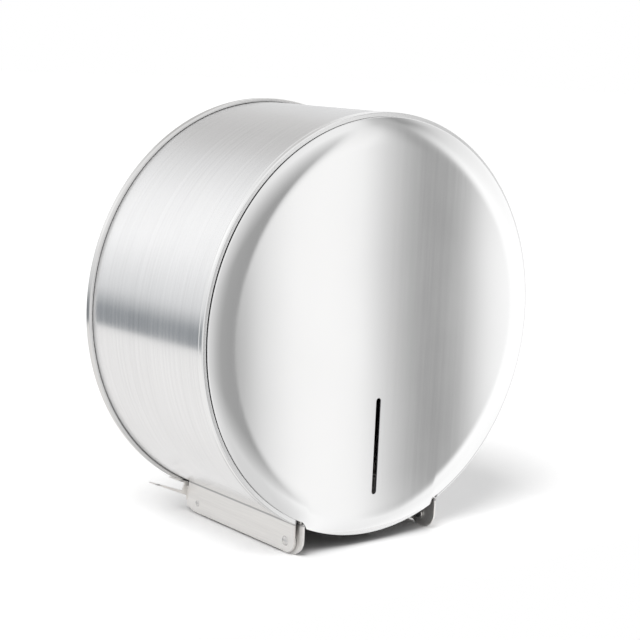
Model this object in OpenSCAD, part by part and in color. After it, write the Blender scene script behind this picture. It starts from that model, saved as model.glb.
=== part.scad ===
// Jumbo toilet roll dispenser in stainless sheet, modelled on the middle of its wall face.
// X runs to the right, Y runs into the wall and Z runs up, so the door faces -Y.

/* [Drum] */
// Outer radius of the drum wall
drum_r = 132.6; // [125:0.1:145]
// Thickness of the drum's sheet
drum_t = 1.0; // [0.8:0.1:1.4]
// Distance from the wall to the front corner of the door's edge
door_front = 126.6; // [115:0.1:140]

/* [Back plate] */
// Thickness of the back plate
back_t = 1.2; // [1:0.1:2]
// Thickness of the turned rim that holds the drum wall
back_rim_t = 2.55; // [1.5:0.05:3.5]
// How far the turned rim reaches forward from the wall
back_rim_depth = 4.9; // [3:0.1:8]
// Distance between the wall screw holes, both across and up
screw_span = 150; // [120:1:160]
// Radius of the wall screw holes
screw_hole_r = 3.0; // [2:0.1:4]

/* [Front rim] */
// How far the front rim stands out past the drum wall
rim_proud = 0.5; // [0.2:0.1:1]
// Width of the front rim along the drum
rim_w = 4.6; // [3.6:0.1:6]
// Radial thickness of the front rim's nose
rim_nose_t = 3.5; // [3.2:0.1:4.5]
// Radius of the front rim's rounded corner
rim_round = 2.4; // [1:0.1:2.8]
// Thickness of the flange that holds the rim inside the drum wall
rim_flange_t = 1.2; // [0.8:0.1:1.6]
// Length of that flange
rim_flange_w = 6; // [4:0.5:8]

/* [Door] */
// How far the door's edge lies inside the drum wall's outer face
door_inset = 2.6; // [2:0.1:3]
// Thickness of the door's sheet
door_t = 1.0; // [0.8:0.1:1.3]
// Depth of the door's straight edge
door_lip = 1.0; // [0.8:0.1:1.5]
// Gap between the closed door and the front rim
door_gap = 0.6; // [0.4:0.1:1]
// Width of the door's rolled shoulder
shoulder_w = 12; // [8:0.5:20]
// Slope of the shoulder at the door's edge, in degrees
shoulder_slope = 20; // [15:1:30]
// Height of the gentle crown inside the shoulder
crown_h = 0.5; // [0.3:0.1:1.5]

/* [Sight slot] */
// Width of the sight slot
slot_w = 3.5; // [2.5:0.1:5]
// Distance from the door's middle down to the slot's upper end
slot_top = 45; // [35:1:60]
// Length of the slot
slot_len = 62; // [45:1:65]

/* [Cheeks] */
// Distance from the middle to each cheek's outer face
cheek_x = 58.7; // [50:0.1:64]
// Thickness of the cheeks' sheet
cheek_t = 1.0; // [0.8:0.1:1.4]
// How far the cheeks reach below the drum
cheek_below = 6; // [4:0.1:8]
// Gap between the cheeks' rear edge and the back plate's rim
cheek_rear_gap = 4; // [2:0.1:5]
// How far the cheeks reach forward past the front rim's rear face
cheek_reach = 2.8; // [0:0.1:3.2]
// Radius of the cheeks' front corner
cheek_front_round = 8; // [4:0.5:9]
// Radius of the cheeks' rear corner
cheek_rear_round = 6.5; // [2:0.5:7]
// Length of the cheeks' flange along the inside of the drum, in degrees
cheek_flange_span = 6; // [4:0.5:8]

/* [Hinge] */
// Distance from the door's front corner back to the pivots
pivot_back = 12.0; // [11.5:0.1:15]
// Height of the pivots above the cheeks' lower edge
pivot_lift = 6.8; // [6.5:0.1:8]
// Radius of the pivot rivets' shank
pivot_r = 2.5; // [2:0.1:2.8]
// Radius of the pivot rivets' head
pivot_head_r = 3.1; // [3:0.1:4.5]
// Height of the pivot rivets' head
pivot_head_h = 1.3; // [1:0.1:2]
// Radial clearance of the ears on the pivot rivets
pivot_clearance = 0.06; // [0.02:0.01:0.1]
// Thickness of the washer between each cheek and ear
pivot_washer_t = 1.7; // [1:0.1:2.2]
// Running gap beside the washers
pivot_gap = 0.2; // [0.15:0.05:0.4]
// Thickness of the door's ears
ear_t = 1.5; // [1:0.1:2]
// How far the ears stand out in front of the door's edge
ear_front = 1.5; // [0.5:0.1:2.5]
// Radius of the ears' lower rear corner, round the pivot
ear_rear_round = 8; // [6:0.1:8.4]
// Radius of the ears' lower front corner
ear_front_round = 11; // [6:0.5:12]
// Gap between the door's edge and the ears' upper edge
ear_top_gap = 1.3; // [0.8:0.1:2]
// Width of the ears' foot, welded inside the door
ear_foot_w = 10; // [7:1:12]
// How far the ears' necks reach up from the inside of the drum wall
ear_reach = 27; // [22:1:34]

/* [Tear bar] */
// Distance from the wall forward to the tear bar's rivets
tear_rivet_y = 19.5; // [17:0.1:24]
// Height of those rivets above the cheeks' lower edge
tear_rivet_lift = 6.4; // [5:0.1:8]
// Radius of the tear bar rivets' shank
tear_rivet_r = 1.5; // [1.2:0.1:2]
// Radius of the tear bar rivets' head
tear_head_r = 2.1; // [2:0.1:3]
// Height of the tear bar rivets' head
tear_head_h = 0.8; // [0.5:0.1:1.2]
// Margin of the tear bar's tabs round the rivets' heads
tear_margin = 2; // [1:0.1:3]
// Thickness of the tear bar
tear_t = 0.8; // [0.6:0.1:1.2]
// Height of the tear bar, teeth included
tear_h = 14; // [10:1:18]
// Distance between two teeth
tooth_pitch = 4; // [3:0.5:6]
// Depth of the teeth
tooth_d = 2.5; // [1.5:0.1:4]

/* [Fork] */
// Thickness of the two-pronged fork on the left cheek
fork_t = 0.8; // [0.6:0.1:1]
// Margin of the fork's plate round its rivet's head
fork_margin = 3; // [2:0.1:4]
// Gap between the fork and the back plate's rim
fork_rear_gap = 0.7; // [0.4:0.1:1.2]
// Gap between the upper prong and the drum wall's lower edge
fork_gap = 0.6; // [0.4:0.1:2]
// Length of the web between the prongs
fork_web_len = 6.5; // [4:0.5:9]
// Slope of the prongs, in degrees
fork_slope = 22; // [10:1:30]
// Length of the lower prong
fork_lower_len = 34; // [20:1:40]
// Length of the upper prong
fork_upper_len = 20; // [10:1:26]
// Distance between the prongs
fork_spacing = 7.2; // [6.5:0.1:9]
// Width of each prong at its root
fork_root_w = 2.4; // [1.5:0.1:3]
// Width of each prong at its tip
fork_tip_w = 0.8; // [0.5:0.1:1.2]

/* [Brackets] */
// Width of the brackets that join the drum wall to the back plate
bracket_w = 14; // [10:1:20]
// Thickness of the brackets
bracket_t = 1.2; // [0.8:0.1:2]
// Length of the bracket's leg along the drum wall
bracket_leg = 12; // [8:1:18]
// Length of the bracket's foot on the back plate
bracket_foot = 16; // [12:1:22]
// Radius of the bracket screws' shank
bracket_screw_r = 2.0; // [1.5:0.1:2.4]
// Radius of the bracket screws' head
bracket_head_r = 3.6; // [3:0.1:4.5]
// Height of the bracket screws' head
bracket_head_h = 2.0; // [1.5:0.1:3]

/* [Spindle] */
// Radius of the spindle's flange
flange_r = 38; // [32:1:48]
// Thickness of the spindle's flange
flange_t = 2.5; // [2:0.1:4]
// Radius of the circle of flange screws
flange_screw_circle = 31; // [30.5:0.1:31.5]
// Radius of the flange screws' shank
flange_screw_r = 2.0; // [1.5:0.1:2.5]
// Radius of the flange screws' head
flange_head_r = 3.8; // [3.2:0.1:4]
// Height of the flange screws' head
flange_head_h = 2.4; // [1.8:0.1:3]
// Outer radius of the spindle post
post_r = 12; // [10:0.1:13]
// Thickness of the post's tube
post_t = 2; // [1.5:0.1:3]
// Length of the post in front of its flange
post_len = 90; // [75:1:96]
// Length of the solid plug at the post's front end
post_plug = 10; // [8:1:16]

/* [Core hub] */
// Outer radius of the hub that carries the roll's core
hub_r = 21; // [19.5:0.1:24]
// Thickness of the hub's outer sleeve
hub_t = 2.2; // [1.5:0.1:3]
// Thickness of the hub's inner sleeve
hub_inner_t = 2.2; // [1.5:0.1:3]
// Radial clearance of the hub on the post
hub_clearance = 0.1; // [0.05:0.01:0.1]
// Radius of the hub's rear flange
hub_flange_r = 26; // [25:0.1:26.5]
// Thickness of the hub's flange and front wall
hub_wall = 2.5; // [2:0.1:3.5]
// Width of the chamfer at the hub's front edge
hub_chamfer = 1.5; // [0.5:0.1:1.8]
// End play of the hub along the post
hub_play = 0.4; // [0.3:0.1:0.8]
// Radius of the retaining washer
retainer_r = 16.5; // [15:0.1:18]
// Thickness of the retaining washer
retainer_t = 2; // [1:0.1:3]
// Radius of the retaining screw's shank
retainer_screw_r = 2.5; // [2:0.1:3]
// Radius of the retaining screw's head
retainer_head_r = 5; // [4:0.1:6.5]
// Height of the retaining screw's head
retainer_head_h = 3.2; // [2:0.1:4]
// Length of the retaining screw's shank in the post
retainer_grip = 8; // [4:1:8]

/* [Lock] */
// Direction of the lock round the drum, in degrees from the right-hand side
lock_angle = 40; // [30:1:50]
// Distance from the door's front corner back to the lock
lock_back = 26.8; // [25:0.1:32]
// Radius of the lock's barrel
barrel_r = 8.5; // [8:0.1:9]
// Length of the barrel inside the drum's outer face
barrel_len = 15; // [13:0.1:16]
// Radius of the barrel's head
barrel_head_r = 11.5; // [10.5:0.1:13]
// Height of the barrel's head
barrel_head_h = 1.8; // [1:0.1:2.5]
// Thickness of the gasket under the head
gasket_t = 1.0; // [0.8:0.1:2]
// Radius of the lock's plug
plug_r = 5.9; // [5:0.1:6.5]
// Radial clearance of the plug in the barrel
plug_clearance = 0.08; // [0.02:0.01:0.1]
// Distance across the nut's flats
nut_af = 22; // [21:0.5:23]
// Height of the nut
nut_h = 4; // [3:0.5:5]
// Width of the key slot
key_w = 1.4; // [1:0.1:2]
// Length of the key slot
key_len = 7; // [5:0.1:8]
// Depth of the key slot
key_depth = 3; // [2:0.1:5]
// Width of the cam
cam_w = 8; // [7:0.1:9]
// Radius of the cam's round end on the plug
cam_hub_r = 6; // [5:0.1:7]
// Length of the cam from the plug's axis to its tip
cam_len = 20; // [19:0.1:21]
// Thickness of the cam
cam_t = 1.8; // [1.2:0.1:2.5]
// Side of the square that drives the cam
cam_square = 6; // [4.5:0.1:6.5]
// Clearance between the cam and its neighbours
cam_gap = 0.3; // [0.2:0.05:0.5]
// Radius of the cam screw's head
cam_head_r = 3.6; // [3.5:0.1:4]
// Height of the cam screw's head
cam_head_h = 2.2; // [1.5:0.1:2.5]
// Radius of the cam screw's shank
cam_screw_r = 1.5; // [1.2:0.1:2]
// Length of the cam screw's shank in the plug
cam_grip = 6; // [4:1:8]

/* [Door catch] */
// Thickness of the catch's strip
catch_t = 1.5; // [1.2:0.1:2]
// Width of the catch's strip
catch_w = 12; // [8:1:14]
// Length of the catch's foot, welded inside the door
catch_foot = 24; // [16:1:30]
// Distance from the lock's axis sideways to the catch
catch_offset = 11.5; // [11:0.1:12]
// How far the catch's hook reaches out past the cam
catch_hook = 2; // [1.5:0.1:3]

/* [Hidden] */
$fn = 128;

// Surface colours
steel = [0.78, 0.79, 0.80];
polished = [0.88, 0.88, 0.88];
cheek_steel = [0.84, 0.83, 0.82];
plastic = [0.25, 0.26, 0.28];
rubber = [0.10, 0.10, 0.10];

// Steps in one rounded corner of a profile, and overlap of a cut past its sheet
arc_steps = 10;
cut = 1;
seat_gap = 0.05;

// A length past the whole object, for cuts that go right through it
far = 2 * (drum_r + door_front);

// Radii round the drum's axis
drum_in = drum_r - drum_t;
rim_r = drum_r + rim_proud;
rim_in = rim_r - rim_nose_t;
back_rim_in = drum_r + seat_gap;
back_r = back_rim_in + back_rim_t;
door_r = drum_r - door_inset;

// Places along Y, all negative in front of the wall
door_rear_y = door_lip - door_front;
rim_front_y = door_rear_y + door_gap;
rim_rear_y = rim_front_y + rim_w;
pivot_y = pivot_back - door_front;
lock_y = lock_back - door_front;
cheek_rear_y = -back_rim_depth - cheek_rear_gap;

// Heights
cheek_low_z = -drum_r - cheek_below;
pivot_z = cheek_low_z + pivot_lift;
tear_z = cheek_low_z + tear_rivet_lift;

// Faces of the cheeks and ears, measured from the middle
cheek_in = cheek_x - cheek_t;
ear_out = cheek_in - pivot_washer_t - pivot_gap;
ear_in = ear_out - ear_t;

// Profile of the door: a shoulder arc that runs into a large crown arc
crown_r = door_r - shoulder_w;
crown_slope = 2 * atan(crown_h / crown_r);
shoulder_r = shoulder_w / (sin(shoulder_slope) - sin(crown_slope));
shoulder_centre = [
    door_r - shoulder_r * sin(shoulder_slope),
    shoulder_r * cos(shoulder_slope) - door_front
];
crown_big_r = crown_r / sin(crown_slope);
crown_centre = [0, shoulder_centre[1] - shoulder_r * cos(crown_slope) + crown_big_r * cos(crown_slope)];

// Places along the spindle
post_back_y = -back_t - flange_t;
post_front_y = post_back_y - post_len;
hub_rear_y = post_back_y - hub_play / 2;
hub_front_y = post_front_y + hub_play / 2;
hub_bore_r = post_r + hub_clearance;
screw_count = 4;
flange_screw_angle = 45;
bracket_angles = [20, 160, 214, 326];

// Places along the lock's axis, measured out from the drum's axis
barrel_low = drum_r - barrel_len;
barrel_seat = drum_r + gasket_t;
barrel_bore_r = plug_r + plug_clearance;
nut_corner_r = nut_af / 2 / cos(30);
nut_top = sqrt(drum_in * drum_in - nut_corner_r * nut_corner_r);
cam_top = barrel_low - cam_gap;
cam_low = cam_top - cam_t;
catch_in = cam_low - cam_head_h - cam_gap - catch_t;
catch_hook_y = lock_y + cam_w / 2 + cam_gap;

// Points along an arc from angle a0 to angle a1
function arc(centre, r, a0, a1, steps = arc_steps) =
    [for (i = [0:steps]) let (a = a0 + (a1 - a0) * i / steps) centre + r * [cos(a), sin(a)]];

// Door profile from the edge to the middle, moved inward by the sheet thickness s
function door_curve(s) = concat(
    arc(shoulder_centre, shoulder_r - s, shoulder_slope - 90, crown_slope - 90),
    arc(crown_centre, crown_big_r - s, crown_slope - 90, -90)
);

// A profile of [radius, y] points turned round the drum's axis
module turned() {
    rotate([-90, 0, 0]) rotate_extrude() children();
}

// A round bar along Y between two places
module bar_y(r, y0, y1) {
    translate([0, y0, 0]) rotate([-90, 0, 0]) cylinder(r = r, h = y1 - y0);
}

// A round bar along X between two places
module bar_x(r, x0, x1) {
    translate([x0, 0, 0]) rotate([0, 90, 0]) cylinder(r = r, h = x1 - x0);
}

// A sheet with its outline in the plane of Y and Z, between two places along X
module sheet_yz(x0, t) {
    translate([x0, 0, 0]) rotate([90, 0, 90]) linear_extrude(t) children();
}

// A sheet with its outline in the plane of X and Z, reaching forward from y0
module sheet_xz(y0, t) {
    translate([0, y0, 0]) rotate([90, 0, 0]) linear_extrude(t) children();
}

// Turns a piece drawn at the right-hand side to an angle round the drum's axis
module at_angle(a) {
    rotate([0, -a, 0]) children();
}

// Draws a piece on both sides of the middle
module both_sides() {
    children();
    mirror([1, 0, 0]) children();
}

// The outlet between the cheeks, cut down from the drum's axis
module outlet_cut(half_w) {
    translate([-half_w, -far, -far]) cube([2 * half_w, far, far]);
}

// A domed rivet head that stands on the plane of X = 0 and points along +X
module rivet_head(r, h) {
    dome_r = (r * r + h * h) / (2 * h);
    half_span = asin(r / dome_r);
    rotate([0, 90, 0]) rotate_extrude()
        polygon(concat([[0, 0]], arc([0, h - dome_r], dome_r, 90 - half_span, 90)));
}

// Centres of the wall screw holes and of the screws that hold the spindle's flange
module at_wall_holes() {
    for (sx = [-1, 1], sz = [-1, 1]) translate([sx * screw_span / 2, 0, sz * screw_span / 2]) children();
}

module at_flange_screws() {
    for (i = [0:screw_count - 1]) at_angle(flange_screw_angle + i * 360 / screw_count)
        translate([flange_screw_circle, 0, 0]) children();
}

module at_bracket_screws() {
    for (a = bracket_angles) at_angle(a)
        translate([drum_in - bracket_foot / 2 - bracket_t, 0, 0]) children();
}

module back_plate() {
    corner = back_rim_t / 2;
    rim_corner = [back_r - corner, corner - back_rim_depth];
    wall_corner = [back_r - back_t, -back_t];
    color(steel) difference() {
        turned() polygon(concat(
            [[0, 0], [0, -back_t], [back_rim_in, -back_t]],
            arc(rim_corner, corner, -180, 0),
            arc(wall_corner, back_t, 0, 90)
        ));
        at_wall_holes() bar_y(screw_hole_r, -back_t - cut, cut);
        at_flange_screws() bar_y(flange_screw_r, -back_t - cut, cut);
        at_bracket_screws() bar_y(bracket_screw_r, -back_t - cut, cut);
    }
}

module drum_wall() {
    color(steel) difference() {
        bar_y(drum_r, rim_rear_y, -back_t);
        bar_y(drum_in, rim_rear_y - cut, cut);
        outlet_cut(cheek_x);
        at_lock() bar_x(barrel_r + seat_gap, drum_in - cut, drum_r + cut);
    }
}

module front_rim() {
    corner = [rim_r - rim_round, rim_front_y + rim_round];
    flange_out = drum_in - seat_gap;
    flange_in = flange_out - rim_flange_t;
    nose_depth = rim_front_y + rim_nose_t;
    color(polished) difference() {
        turned() polygon(concat(
            [[rim_in, rim_front_y]],
            arc(corner, rim_round, -90, 0),
            [
                [rim_r, rim_rear_y],
                [flange_out, rim_rear_y],
                [flange_out, rim_rear_y + rim_flange_w],
                [flange_in, rim_rear_y + rim_flange_w],
                [flange_in, nose_depth],
                [rim_in, nose_depth]
            ]
        ));
        outlet_cut(cheek_x);
    }
}

// Side view of a cheek, with its two lower corners rounded
module cheek_outline() {
    front = rim_rear_y - cheek_reach;
    flange_mid_r = drum_in - seat_gap - cheek_t / 2;
    top = -sqrt(flange_mid_r * flange_mid_r - cheek_in * cheek_in);
    polygon(concat(
        [[front, top]],
        arc([front + cheek_front_round, cheek_low_z + cheek_front_round], cheek_front_round, 180, 270),
        arc([cheek_rear_y - cheek_rear_round, cheek_low_z + cheek_rear_round], cheek_rear_round, 270, 360),
        [[cheek_rear_y, top]]
    ));
}

// The right cheek: a flat plate and a flange that follows the inside of the drum wall
module cheek() {
    flange_out = drum_in - seat_gap;
    flange_front = rim_rear_y + rim_flange_w + cheek_t;
    flange_high = -drum_in * cos(asin(cheek_in / drum_in) + cheek_flange_span);
    difference() {
        union() {
            sheet_yz(cheek_in, cheek_t) cheek_outline();
            difference() {
                bar_y(flange_out, flange_front, cheek_rear_y);
                bar_y(flange_out - cheek_t, flange_front - cut, cheek_rear_y + cut);
                translate([-far, -far, -far]) cube([far + cheek_in, 2 * far, 2 * far]);
                translate([-far, -far, flange_high]) cube(2 * far);
            }
        }
        translate([0, pivot_y, pivot_z]) bar_x(pivot_r, cheek_in - cut, cheek_x + cut);
        translate([0, -tear_rivet_y, tear_z]) bar_x(tear_rivet_r, cheek_in - cut, cheek_x + cut);
    }
}

module cheek_left() {
    color(cheek_steel) mirror([1, 0, 0]) cheek();
}

module cheek_right() {
    color(cheek_steel) cheek();
}

module wall_brackets() {
    leg_front = -back_t - bracket_leg;
    foot_start = drum_in - bracket_foot;
    color(steel) difference() {
        for (a = bracket_angles) at_angle(a) intersection() {
            bar_y(drum_in - seat_gap, leg_front, -back_t);
            union() {
                translate([foot_start, -back_t - bracket_t, -bracket_w / 2])
                    cube([bracket_foot, bracket_t, bracket_w]);
                difference() {
                    translate([foot_start, leg_front, -bracket_w / 2])
                        cube([bracket_foot, bracket_leg, bracket_w]);
                    bar_y(drum_in - seat_gap - bracket_t, leg_front - cut, cut);
                }
            }
        }
        at_bracket_screws() bar_y(bracket_screw_r, leg_front, cut);
    }
}

module bracket_screws() {
    seat_y = -back_t - bracket_t;
    color(polished) at_bracket_screws() {
        bar_y(bracket_screw_r, seat_y, 0);
        translate([0, seat_y, 0]) rotate([0, 0, -90]) rivet_head(bracket_head_r, bracket_head_h);
    }
}

module tear_bar() {
    half_len = cheek_in - fork_t;
    tab_w = 2 * (tear_head_r + tear_margin);
    bar_y0 = -tear_rivet_y + tab_w / 2;
    low_z = cheek_low_z + cheek_t;
    teeth = floor(2 * (half_len - tear_t) / tooth_pitch);
    first_x = -teeth * tooth_pitch / 2;
    color(steel) difference() {
        union() {
            sheet_xz(bar_y0, tear_t) polygon(concat(
                [[half_len, low_z + tooth_d], [half_len, low_z + tear_h]],
                [[-half_len, low_z + tear_h], [-half_len, low_z + tooth_d]],
                [for (i = [0:2 * teeth]) [first_x + i * tooth_pitch / 2, low_z + (i % 2 ? 0 : tooth_d)]]
            ));
            both_sides() translate([half_len - tear_t, bar_y0 - tab_w, low_z])
                cube([tear_t, tab_w, tear_h]);
        }
        both_sides() translate([0, -tear_rivet_y, tear_z])
            bar_x(tear_rivet_r, half_len - tear_t - cut, half_len + cut);
    }
}

module tear_bar_rivets() {
    tail = cheek_in - fork_t - tear_t;
    color(polished) both_sides() translate([0, -tear_rivet_y, tear_z]) {
        bar_x(tear_rivet_r, tail - tear_head_h, cheek_x);
        bar_x(tear_head_r, tail - tear_head_h, tail);
        translate([cheek_x, 0, 0]) rivet_head(tear_head_r, tear_head_h);
    }
}

// Front view of the fork's prongs, drawn from its bend and pointing along -X
module prong(len, rise) {
    rotate(-fork_slope) translate([0, rise]) polygon([
        [0, -fork_root_w / 2], [-len, -fork_tip_w / 2], [-len, fork_tip_w / 2], [0, fork_root_w / 2]
    ]);
}

// The fork lies between the left cheek and the tear bar, and its bend turns out behind the cheek
module cheek_fork() {
    plate_rear_y = -back_rim_depth - fork_rear_gap;
    plate_w = 2 * (tear_head_r + fork_margin);
    low_z = cheek_low_z + cheek_t;
    root_x = -cheek_in + fork_t;
    wall_edge_z = -sqrt(drum_r * drum_r - cheek_x * cheek_x);
    upper_z = wall_edge_z - fork_gap - fork_root_w / 2 / cos(fork_slope);
    bend_z = upper_z - fork_spacing / cos(fork_slope) - (cheek_x + root_x) * tan(fork_slope);
    color(cheek_steel) difference() {
        union() {
            translate([-cheek_in, -tear_rivet_y - plate_w / 2, low_z])
                cube([fork_t, plate_w / 2 + tear_rivet_y + plate_rear_y, 2 * fork_spacing]);
            sheet_xz(plate_rear_y, fork_t) translate([root_x, bend_z]) {
                translate([-cheek_t - fork_t, -fork_spacing / 2])
                    square([cheek_t + fork_t, 3 * fork_spacing / 2]);
                prong(fork_lower_len, 0);
                prong(fork_upper_len, fork_spacing);
                rotate(-fork_slope) translate([-fork_web_len, 0]) square([fork_web_len, fork_spacing]);
            }
        }
        translate([0, -tear_rivet_y, tear_z]) bar_x(tear_rivet_r, -cheek_in - cut, root_x + cut);
    }
}

module pivot_rivets() {
    tail = ear_in - pivot_gap;
    color(polished) both_sides() translate([0, pivot_y, pivot_z]) {
        bar_x(pivot_r, tail - pivot_head_h, cheek_x);
        bar_x(pivot_head_r, tail - pivot_head_h, tail);
        translate([cheek_x, 0, 0]) rivet_head(pivot_head_r, pivot_head_h);
    }
}

module pivot_washers() {
    color(steel) both_sides() translate([0, pivot_y, pivot_z]) difference() {
        bar_x(ear_rear_round - pivot_gap, cheek_in - pivot_washer_t, cheek_in);
        bar_x(pivot_r, cheek_in - pivot_washer_t - cut, cheek_in + cut);
    }
}

module spindle_flange() {
    color(steel) difference() {
        bar_y(flange_r, post_back_y, -back_t);
        at_flange_screws() bar_y(flange_screw_r, post_back_y - cut, cut);
    }
}

module spindle_post() {
    color(polished) difference() {
        bar_y(post_r, post_front_y, post_back_y);
        bar_y(post_r - post_t, post_front_y + post_plug, post_back_y + cut);
        bar_y(retainer_screw_r, post_front_y - cut, post_front_y + post_plug + cut);
    }
}

module spindle_screws() {
    color(polished) at_flange_screws() {
        bar_y(flange_screw_r, post_back_y, 0);
        translate([0, post_back_y, 0]) rotate([0, 0, -90]) rivet_head(flange_head_r, flange_head_h);
    }
}

module core_hub() {
    inner_out = hub_bore_r + hub_inner_t;
    sleeve_in = hub_r - hub_t;
    color(plastic) turned() polygon([
        [hub_bore_r, hub_rear_y],
        [inner_out, hub_rear_y],
        [inner_out, hub_front_y + hub_wall],
        [sleeve_in, hub_front_y + hub_wall],
        [sleeve_in, hub_rear_y],
        [hub_flange_r, hub_rear_y],
        [hub_flange_r, hub_rear_y - hub_wall],
        [hub_r, hub_rear_y - hub_wall],
        [hub_r, hub_front_y + hub_chamfer],
        [hub_r - hub_chamfer, hub_front_y],
        [hub_bore_r, hub_front_y]
    ]);
}

module hub_retainer() {
    color(polished) difference() {
        bar_y(retainer_r, post_front_y - retainer_t, post_front_y);
        bar_y(retainer_screw_r, post_front_y - retainer_t - cut, post_front_y + cut);
    }
}

module retainer_screw() {
    seat_y = post_front_y - retainer_t;
    color(steel) {
        bar_y(retainer_screw_r, seat_y, post_front_y + retainer_grip);
        translate([0, seat_y, 0]) rotate([0, 0, -90]) rivet_head(retainer_head_r, retainer_head_h);
    }
}

module door_dish() {
    inner = door_curve(door_t);
    slot_low = -slot_top - slot_len + slot_w / 2;
    color(polished) difference() {
        turned() polygon(concat(
            [[door_r, door_rear_y]],
            door_curve(0),
            [for (i = [len(inner) - 1:-1:0]) inner[i]],
            [[inner[0][0], door_rear_y]]
        ));
        for (z = [-slot_top - slot_w / 2, slot_low]) translate([0, 0, z]) bar_y(slot_w / 2, -far, 0);
        translate([-slot_w / 2, -far, slot_low]) cube([slot_w, far, slot_len - slot_w]);
    }
}

// The space behind the door's sheet, moved back by s, down to a flat rear plane
module behind_door(s, rear_y) {
    behind_edge_y = door_rear_y + door_gap / 2;
    turned() polygon(concat(
        door_curve(door_t + s),
        [[0, rear_y], [far, rear_y], [far, behind_edge_y], [door_r - door_t, behind_edge_y]]
    ));
}

// Side view of an ear: a lobe below the door and a neck that runs up behind it
module ear_lobe_outline() {
    front = -door_front - ear_front;
    low = pivot_z - ear_rear_round;
    top = -sqrt(door_r * door_r - ear_out * ear_out) - ear_top_gap;
    polygon(concat(
        [[front, top]],
        arc([front + ear_front_round, low + ear_front_round], ear_front_round, 180, 270),
        arc([pivot_y, pivot_z], ear_rear_round, 270, 360),
        [[pivot_y + ear_rear_round, top]]
    ));
}

// The right ear, welded to the inside of the door by its neck and foot
module door_ear() {
    neck_top = ear_reach - drum_in;
    neck_low = pivot_z + ear_rear_round;
    neck_rear = pivot_y + ear_rear_round;
    difference() {
        union() {
            sheet_yz(ear_in, ear_t) ear_lobe_outline();
            intersection() {
                behind_door(0, 0);
                translate([ear_in, -far, neck_low]) cube([ear_t, far + neck_rear, neck_top - neck_low]);
            }
            intersection() {
                behind_door(0, 0);
                translate([ear_out - ear_foot_w, -far, neck_top - ear_foot_w])
                    cube([ear_foot_w, far + door_rear_y + ear_t, ear_foot_w]);
            }
        }
        translate([0, pivot_y, pivot_z]) bar_x(pivot_r + pivot_clearance, ear_in - cut, ear_out + cut);
    }
}

module door_ear_left() {
    color(cheek_steel) mirror([1, 0, 0]) door_ear();
}

module door_ear_right() {
    color(cheek_steel) door_ear();
}

// The catch: a strip back from the door with a hook that the cam turns in front of
module door_catch() {
    low_z = -catch_offset - catch_w;
    hook_top = cam_top + catch_hook;
    color(steel) at_angle(lock_angle) intersection() {
        at_angle(-lock_angle) behind_door(0, 0);
        union() {
            translate([catch_in, -far, low_z]) cube([catch_t, far + catch_hook_y + catch_t, catch_w]);
            translate([catch_in, catch_hook_y, low_z]) cube([hook_top - catch_in, catch_t, catch_w]);
            intersection() {
                translate([catch_in - catch_foot, -far, low_z])
                    cube([catch_foot, far + door_rear_y, catch_w]);
                at_angle(-lock_angle) difference() {
                    behind_door(0, -door_front / 2);
                    behind_door(catch_t, 0);
                }
            }
        }
    }
}

// Places a piece on the lock's axis, with +X pointing out of the drum
module at_lock() {
    at_angle(lock_angle) translate([0, lock_y, 0]) children();
}

module lock_barrel() {
    color(polished) at_lock() difference() {
        union() {
            bar_x(barrel_r, barrel_low, barrel_seat);
            bar_x(barrel_head_r, barrel_seat, barrel_seat + barrel_head_h);
        }
        bar_x(barrel_bore_r, barrel_low - cut, barrel_seat + barrel_head_h + cut);
    }
}

module lock_gasket() {
    color(rubber) at_lock() difference() {
        bar_x(barrel_head_r, drum_r, barrel_seat);
        bar_x(barrel_r + seat_gap, drum_r - cut, barrel_seat + cut);
    }
}

module lock_nut() {
    color(polished) at_lock() difference() {
        translate([nut_top - nut_h, 0, 0]) rotate([0, 90, 0])
            cylinder(r = nut_corner_r, h = nut_h, $fn = 6);
        bar_x(barrel_r + seat_gap, nut_top - nut_h - cut, nut_top + cut);
    }
}

module lock_plug() {
    key_top = barrel_seat + barrel_head_h;
    color(steel) at_lock() difference() {
        union() {
            bar_x(plug_r, cam_top, key_top);
            translate([cam_low, -cam_square / 2, -cam_square / 2]) cube([cam_t, cam_square, cam_square]);
        }
        translate([key_top - key_depth, -key_len / 2, -key_w / 2]) cube([key_depth + cut, key_len, key_w]);
        bar_x(cam_screw_r, cam_low - cut, cam_low + cam_grip);
    }
}

// The cam points at the door while it is unlocked, and turns to the catch to lock
module lock_cam() {
    hole = cam_square + 2 * seat_gap;
    color(steel) at_lock() difference() {
        union() {
            translate([cam_low, cam_w / 2 - cam_len, -cam_w / 2]) cube([cam_t, cam_len - cam_w / 2, cam_w]);
            bar_x(cam_hub_r, cam_low, cam_top);
            translate([0, cam_w / 2 - cam_len, 0]) bar_x(cam_w / 2, cam_low, cam_top);
        }
        translate([cam_low - cut, -hole / 2, -hole / 2]) cube([cam_t + 2 * cut, hole, hole]);
    }
}

module cam_screw() {
    color(polished) at_lock() {
        bar_x(cam_screw_r, cam_low, cam_low + cam_grip);
        translate([cam_low, 0, 0]) mirror([1, 0, 0]) rivet_head(cam_head_r, cam_head_h);
    }
}

back_plate();
drum_wall();
front_rim();
cheek_left();
cheek_right();
wall_brackets();
bracket_screws();
tear_bar();
tear_bar_rivets();
cheek_fork();
pivot_rivets();
pivot_washers();
spindle_flange();
spindle_post();
spindle_screws();
core_hub();
hub_retainer();
retainer_screw();
door_dish();
door_ear_left();
door_ear_right();
door_catch();
lock_barrel();
lock_gasket();
lock_nut();
lock_plug();
lock_cam();
cam_screw();
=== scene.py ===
"""Looks of a jumbo toilet roll dispenser in stainless sheet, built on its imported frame.

Lengths are millimetres unless their note says otherwise, and meshes are metres. X runs to the
right, Y into the wall and Z up, all from the middle of the wall face. The drum's axis is the Y axis.
"""

import logging
import math
from dataclasses import dataclass
from enum import Enum

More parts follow.
